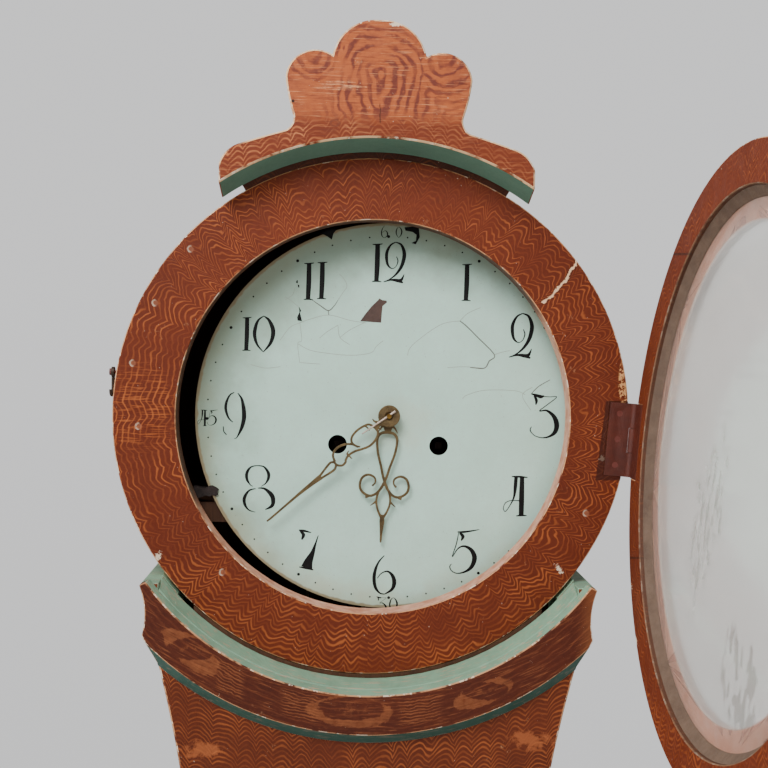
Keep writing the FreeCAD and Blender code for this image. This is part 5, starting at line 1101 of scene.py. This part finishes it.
HOUR_HAND = {"usual": 2.3, "turn": 182.7, "front": -60.9, "back": -59.5, "hub": 9.0, "hole": 5.3}
MINUTE_HAND = {"usual": 2.1, "turn": 228.4, "front": -66.6, "back": -65.2, "hub": 9.9, "hole": 3.7}


def make_hand(node, strokes, facts):
    """A pierced hand, filed round: its strokes and hub welded into one skin."""
    bm = bmesh.new()
    place = about(HANDS_X, 0, 1.0, facts["turn"])
    for stroke in strokes:
        add_stroke(bm, stroke, place, facts["front"], facts["back"], facts["usual"])
    turns = [math.radians(7.5 * i) for i in range(49)]
    middle = (facts["hub"] + facts["hole"]) / 2
    hub = [(middle * math.sin(t), middle * math.cos(t), facts["hub"] - facts["hole"]) for t in turns]
    add_stroke(bm, hub, place, facts["front"] - 0.25, facts["back"], facts["usual"])
    piece = new_piece(node + "_filed", mesh_of(bm, node))
    skin = piece.modifiers.new("weld", "REMESH")
    skin.mode = "VOXEL"
    skin.voxel_size = 0.3 * MM
    skin.use_smooth_shade = True
    soft = piece.modifiers.new("file", "SMOOTH")
    soft.factor = 0.5
    soft.iterations = 3
    coat(piece, "bronze")
    stand_for(piece, node)


def mirrored(strokes):
    return tuple(tuple((-x, *others) for x, *others in stroke) for stroke in strokes)


# The bent strap that holds the dial's edge, about the hood's centre: its end on the dial and its tail
CLIP_END = ((-152, -70), (-148.5, -68.5), (-145, -66.4), (-142.5, -66), (-139, -67.6), (-136.6, -69.5),
            (-137.6, -71.6), (-137.2, -74.6), (-139.5, -75.6), (-142.6, -74.8), (-144.5, -76.2),
            (-147.5, -75.6), (-151, -74))
CLIP_TAIL = ((-159.5, -67), (-152, -68.5), (-148.5, -68.5), (-148.5, -75.5), (-154, -77.5), (-158.5, -77))
CLIP_SHEET = 1.6


def make_clip():
    bm = bmesh.new()
    add_prism(bm, CLIP_END, DIAL_FRONT - CLIP_SHEET, DIAL_FRONT)
    add_prism(bm, CLIP_TAIL, DIAL_FRONT - 1, DIAL_FRONT + 9)
    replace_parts(painted("dial_clip_bent", bm, "clip", "case"), "dial_clip")


# The putty's fillet round the glass: its radii and depths with the door shut
PUTTY_OUT, PUTTY_IN = 194.8, 187.5
PUTTY_GLASS, PUTTY_LOW = -104.4, -98.5


def make_putty():
    bm = bmesh.new()
    profile = ((PUTTY_OUT, PUTTY_GLASS), (PUTTY_IN, PUTTY_GLASS), (PUTTY_IN + 0.8, PUTTY_GLASS + 1.0),
               (PUTTY_OUT, PUTTY_LOW))
    rings = []
    for turn in turns_of(180):
        rings.append([point(bm, r * math.sin(turn), depth, r * math.cos(turn)) for r, depth in profile])
    join_rings(bm, rings + rings[:1])
    hinge = Matrix.Translation(Vector(HINGE) * MM)
    bm.transform(hinge @ Matrix.Rotation(DOOR_OPENED, 4, Vector(HINGE_AXIS)) @ hinge.inverted())
    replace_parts(painted("bezel_putty_fillet", bm, "putty", "glazed_door"), "bezel_putty")


# The weight lines: the steps round a line's section and under its pulley
LINE_SIDES = 10
PULLEY_STEPS = 24


def add_tube(bm, way, frames, radius):
    """A closed tube through the points of `way`; frames gives two directions across it at each point."""
    rings = []
    for middle, (one, other) in zip(way, frames):
        steps = [one * (radius * math.cos(t)) + other * (radius * math.sin(t)) for t in turns_of(LINE_SIDES)]
        rings.append([bm.verts.new(middle + step) for step in steps])
    join_rings(bm, rings)
    bm.faces.new(rings[0][::-1])
    bm.faces.new(rings[-1])


def make_line(name):
    """A weight's line: two falls from the pulley's turn up to the top, and the turn under the pulley, which
    goes with the weight.
    """
    low, high = (Vector(corner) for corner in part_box(name + "_line"))
    radius = (high.y - low.y) / 2
    reach = (high.x - low.x) / 2 - radius
    middle = Vector(((low.x + high.x) / 2, (low.y + high.y) / 2, low.z + reach + radius))
    top = high.z
    falls = bmesh.new()
    for side in (-1, 1):
        foot = middle + Vector((side * reach, 0, 0))
        head = Vector((foot.x, foot.y, top))
        add_tube(falls, (foot, head), [(Vector((1, 0, 0)), Vector((0, 1, 0)))] * 2, radius)
    piece = painted(name + "_line_falls", falls, "cord", "case")
    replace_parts(piece, name + "_line")
    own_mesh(piece)
    turn = bmesh.new()
    way, frames = [], []
    for step in range(PULLEY_STEPS + 1):
        angle = math.pi * (1 + step / PULLEY_STEPS)
        out = Vector((math.cos(angle), 0, math.sin(angle)))
        way.append(middle + out * reach)
        frames.append((out, Vector((0, 1, 0))))
    add_tube(turn, way, frames, radius)
    painted(name + "_line_turn", turn, "cord", name + "_weight")


make_line("going")
make_line("strike")
make_clip()
make_putty()
make_figures()
make_minute_dots()
make_dial_wear()
make_hand("hour_hand", HOUR_MIDDLE + HOUR_HALF + mirrored(HOUR_HALF), HOUR_HAND)
make_hand("minute_hand", MINUTE_STROKES, MINUTE_HAND)


# Floor (metres), backdrop and light
FLOOR_RADIUS = 3.2
FLOOR_DROP = 0.0005
ROOM_LIGHT = 0.5


def make_floor():
    bm = bmesh.new()
    bmesh.ops.create_circle(bm, cap_ends=True, segments=96, radius=FLOOR_RADIUS)
    floor = new_piece("floor", mesh_of(bm, "floor"))
    floor.location.z = -FLOOR_DROP
    paint = Paint("pale_floor")
    paint.colour = paint.mix(paint.noise(400, 0, 3), (236, 236, 234), (240, 240, 239))
    floor.data.materials.append(paint.finish(0.9))


def make_world():
    """A pale studio all round, a little darker towards the floor, and brighter than the light that it
    throws on the clock, as it is lit by itself."""
    world = bpy.data.worlds.new("studio")
    world.use_nodes = True
    nodes = Nodes(world.node_tree)
    background = world.node_tree.nodes["Background"]
    height = nodes.parts_of(nodes.node("TexCoord").outputs["Generated"])[2]
    nodes.put(nodes.mix(height.smooth(-0.35, 0.1), (236, 236, 237), (243, 243, 244)), background.inputs[0])
    straight = nodes.number("LightPath", output="Is Camera Ray")
    seen = straight.most(nodes.number("LightPath", output="Is Transmission Ray"))
    nodes.put(seen * (1 - ROOM_LIGHT) + ROOM_LIGHT, background.inputs[1])
    bpy.context.scene.world = world


def make_light(name, place, target, size, power):
    light = new_piece(name, bpy.data.lights.new(name, "AREA"))
    light.data.energy = power
    light.data.size = size
    light.location = place
    light.rotation_euler = (Vector(target) - Vector(place)).to_track_quat("-Z", "Y").to_euler()


make_floor()
make_world()
make_light("key", (-0.8, -1.9, 3.6), (0, 0, 1.8), 1.3, 75)
make_light("fill", (1.8, -2.6, 1.6), (0, 0, 1.5), 2.2, 8)
make_light("side", (-2.6, -0.25, 1.9), (0.25, -0.35, 1.8), 1.2, 36)
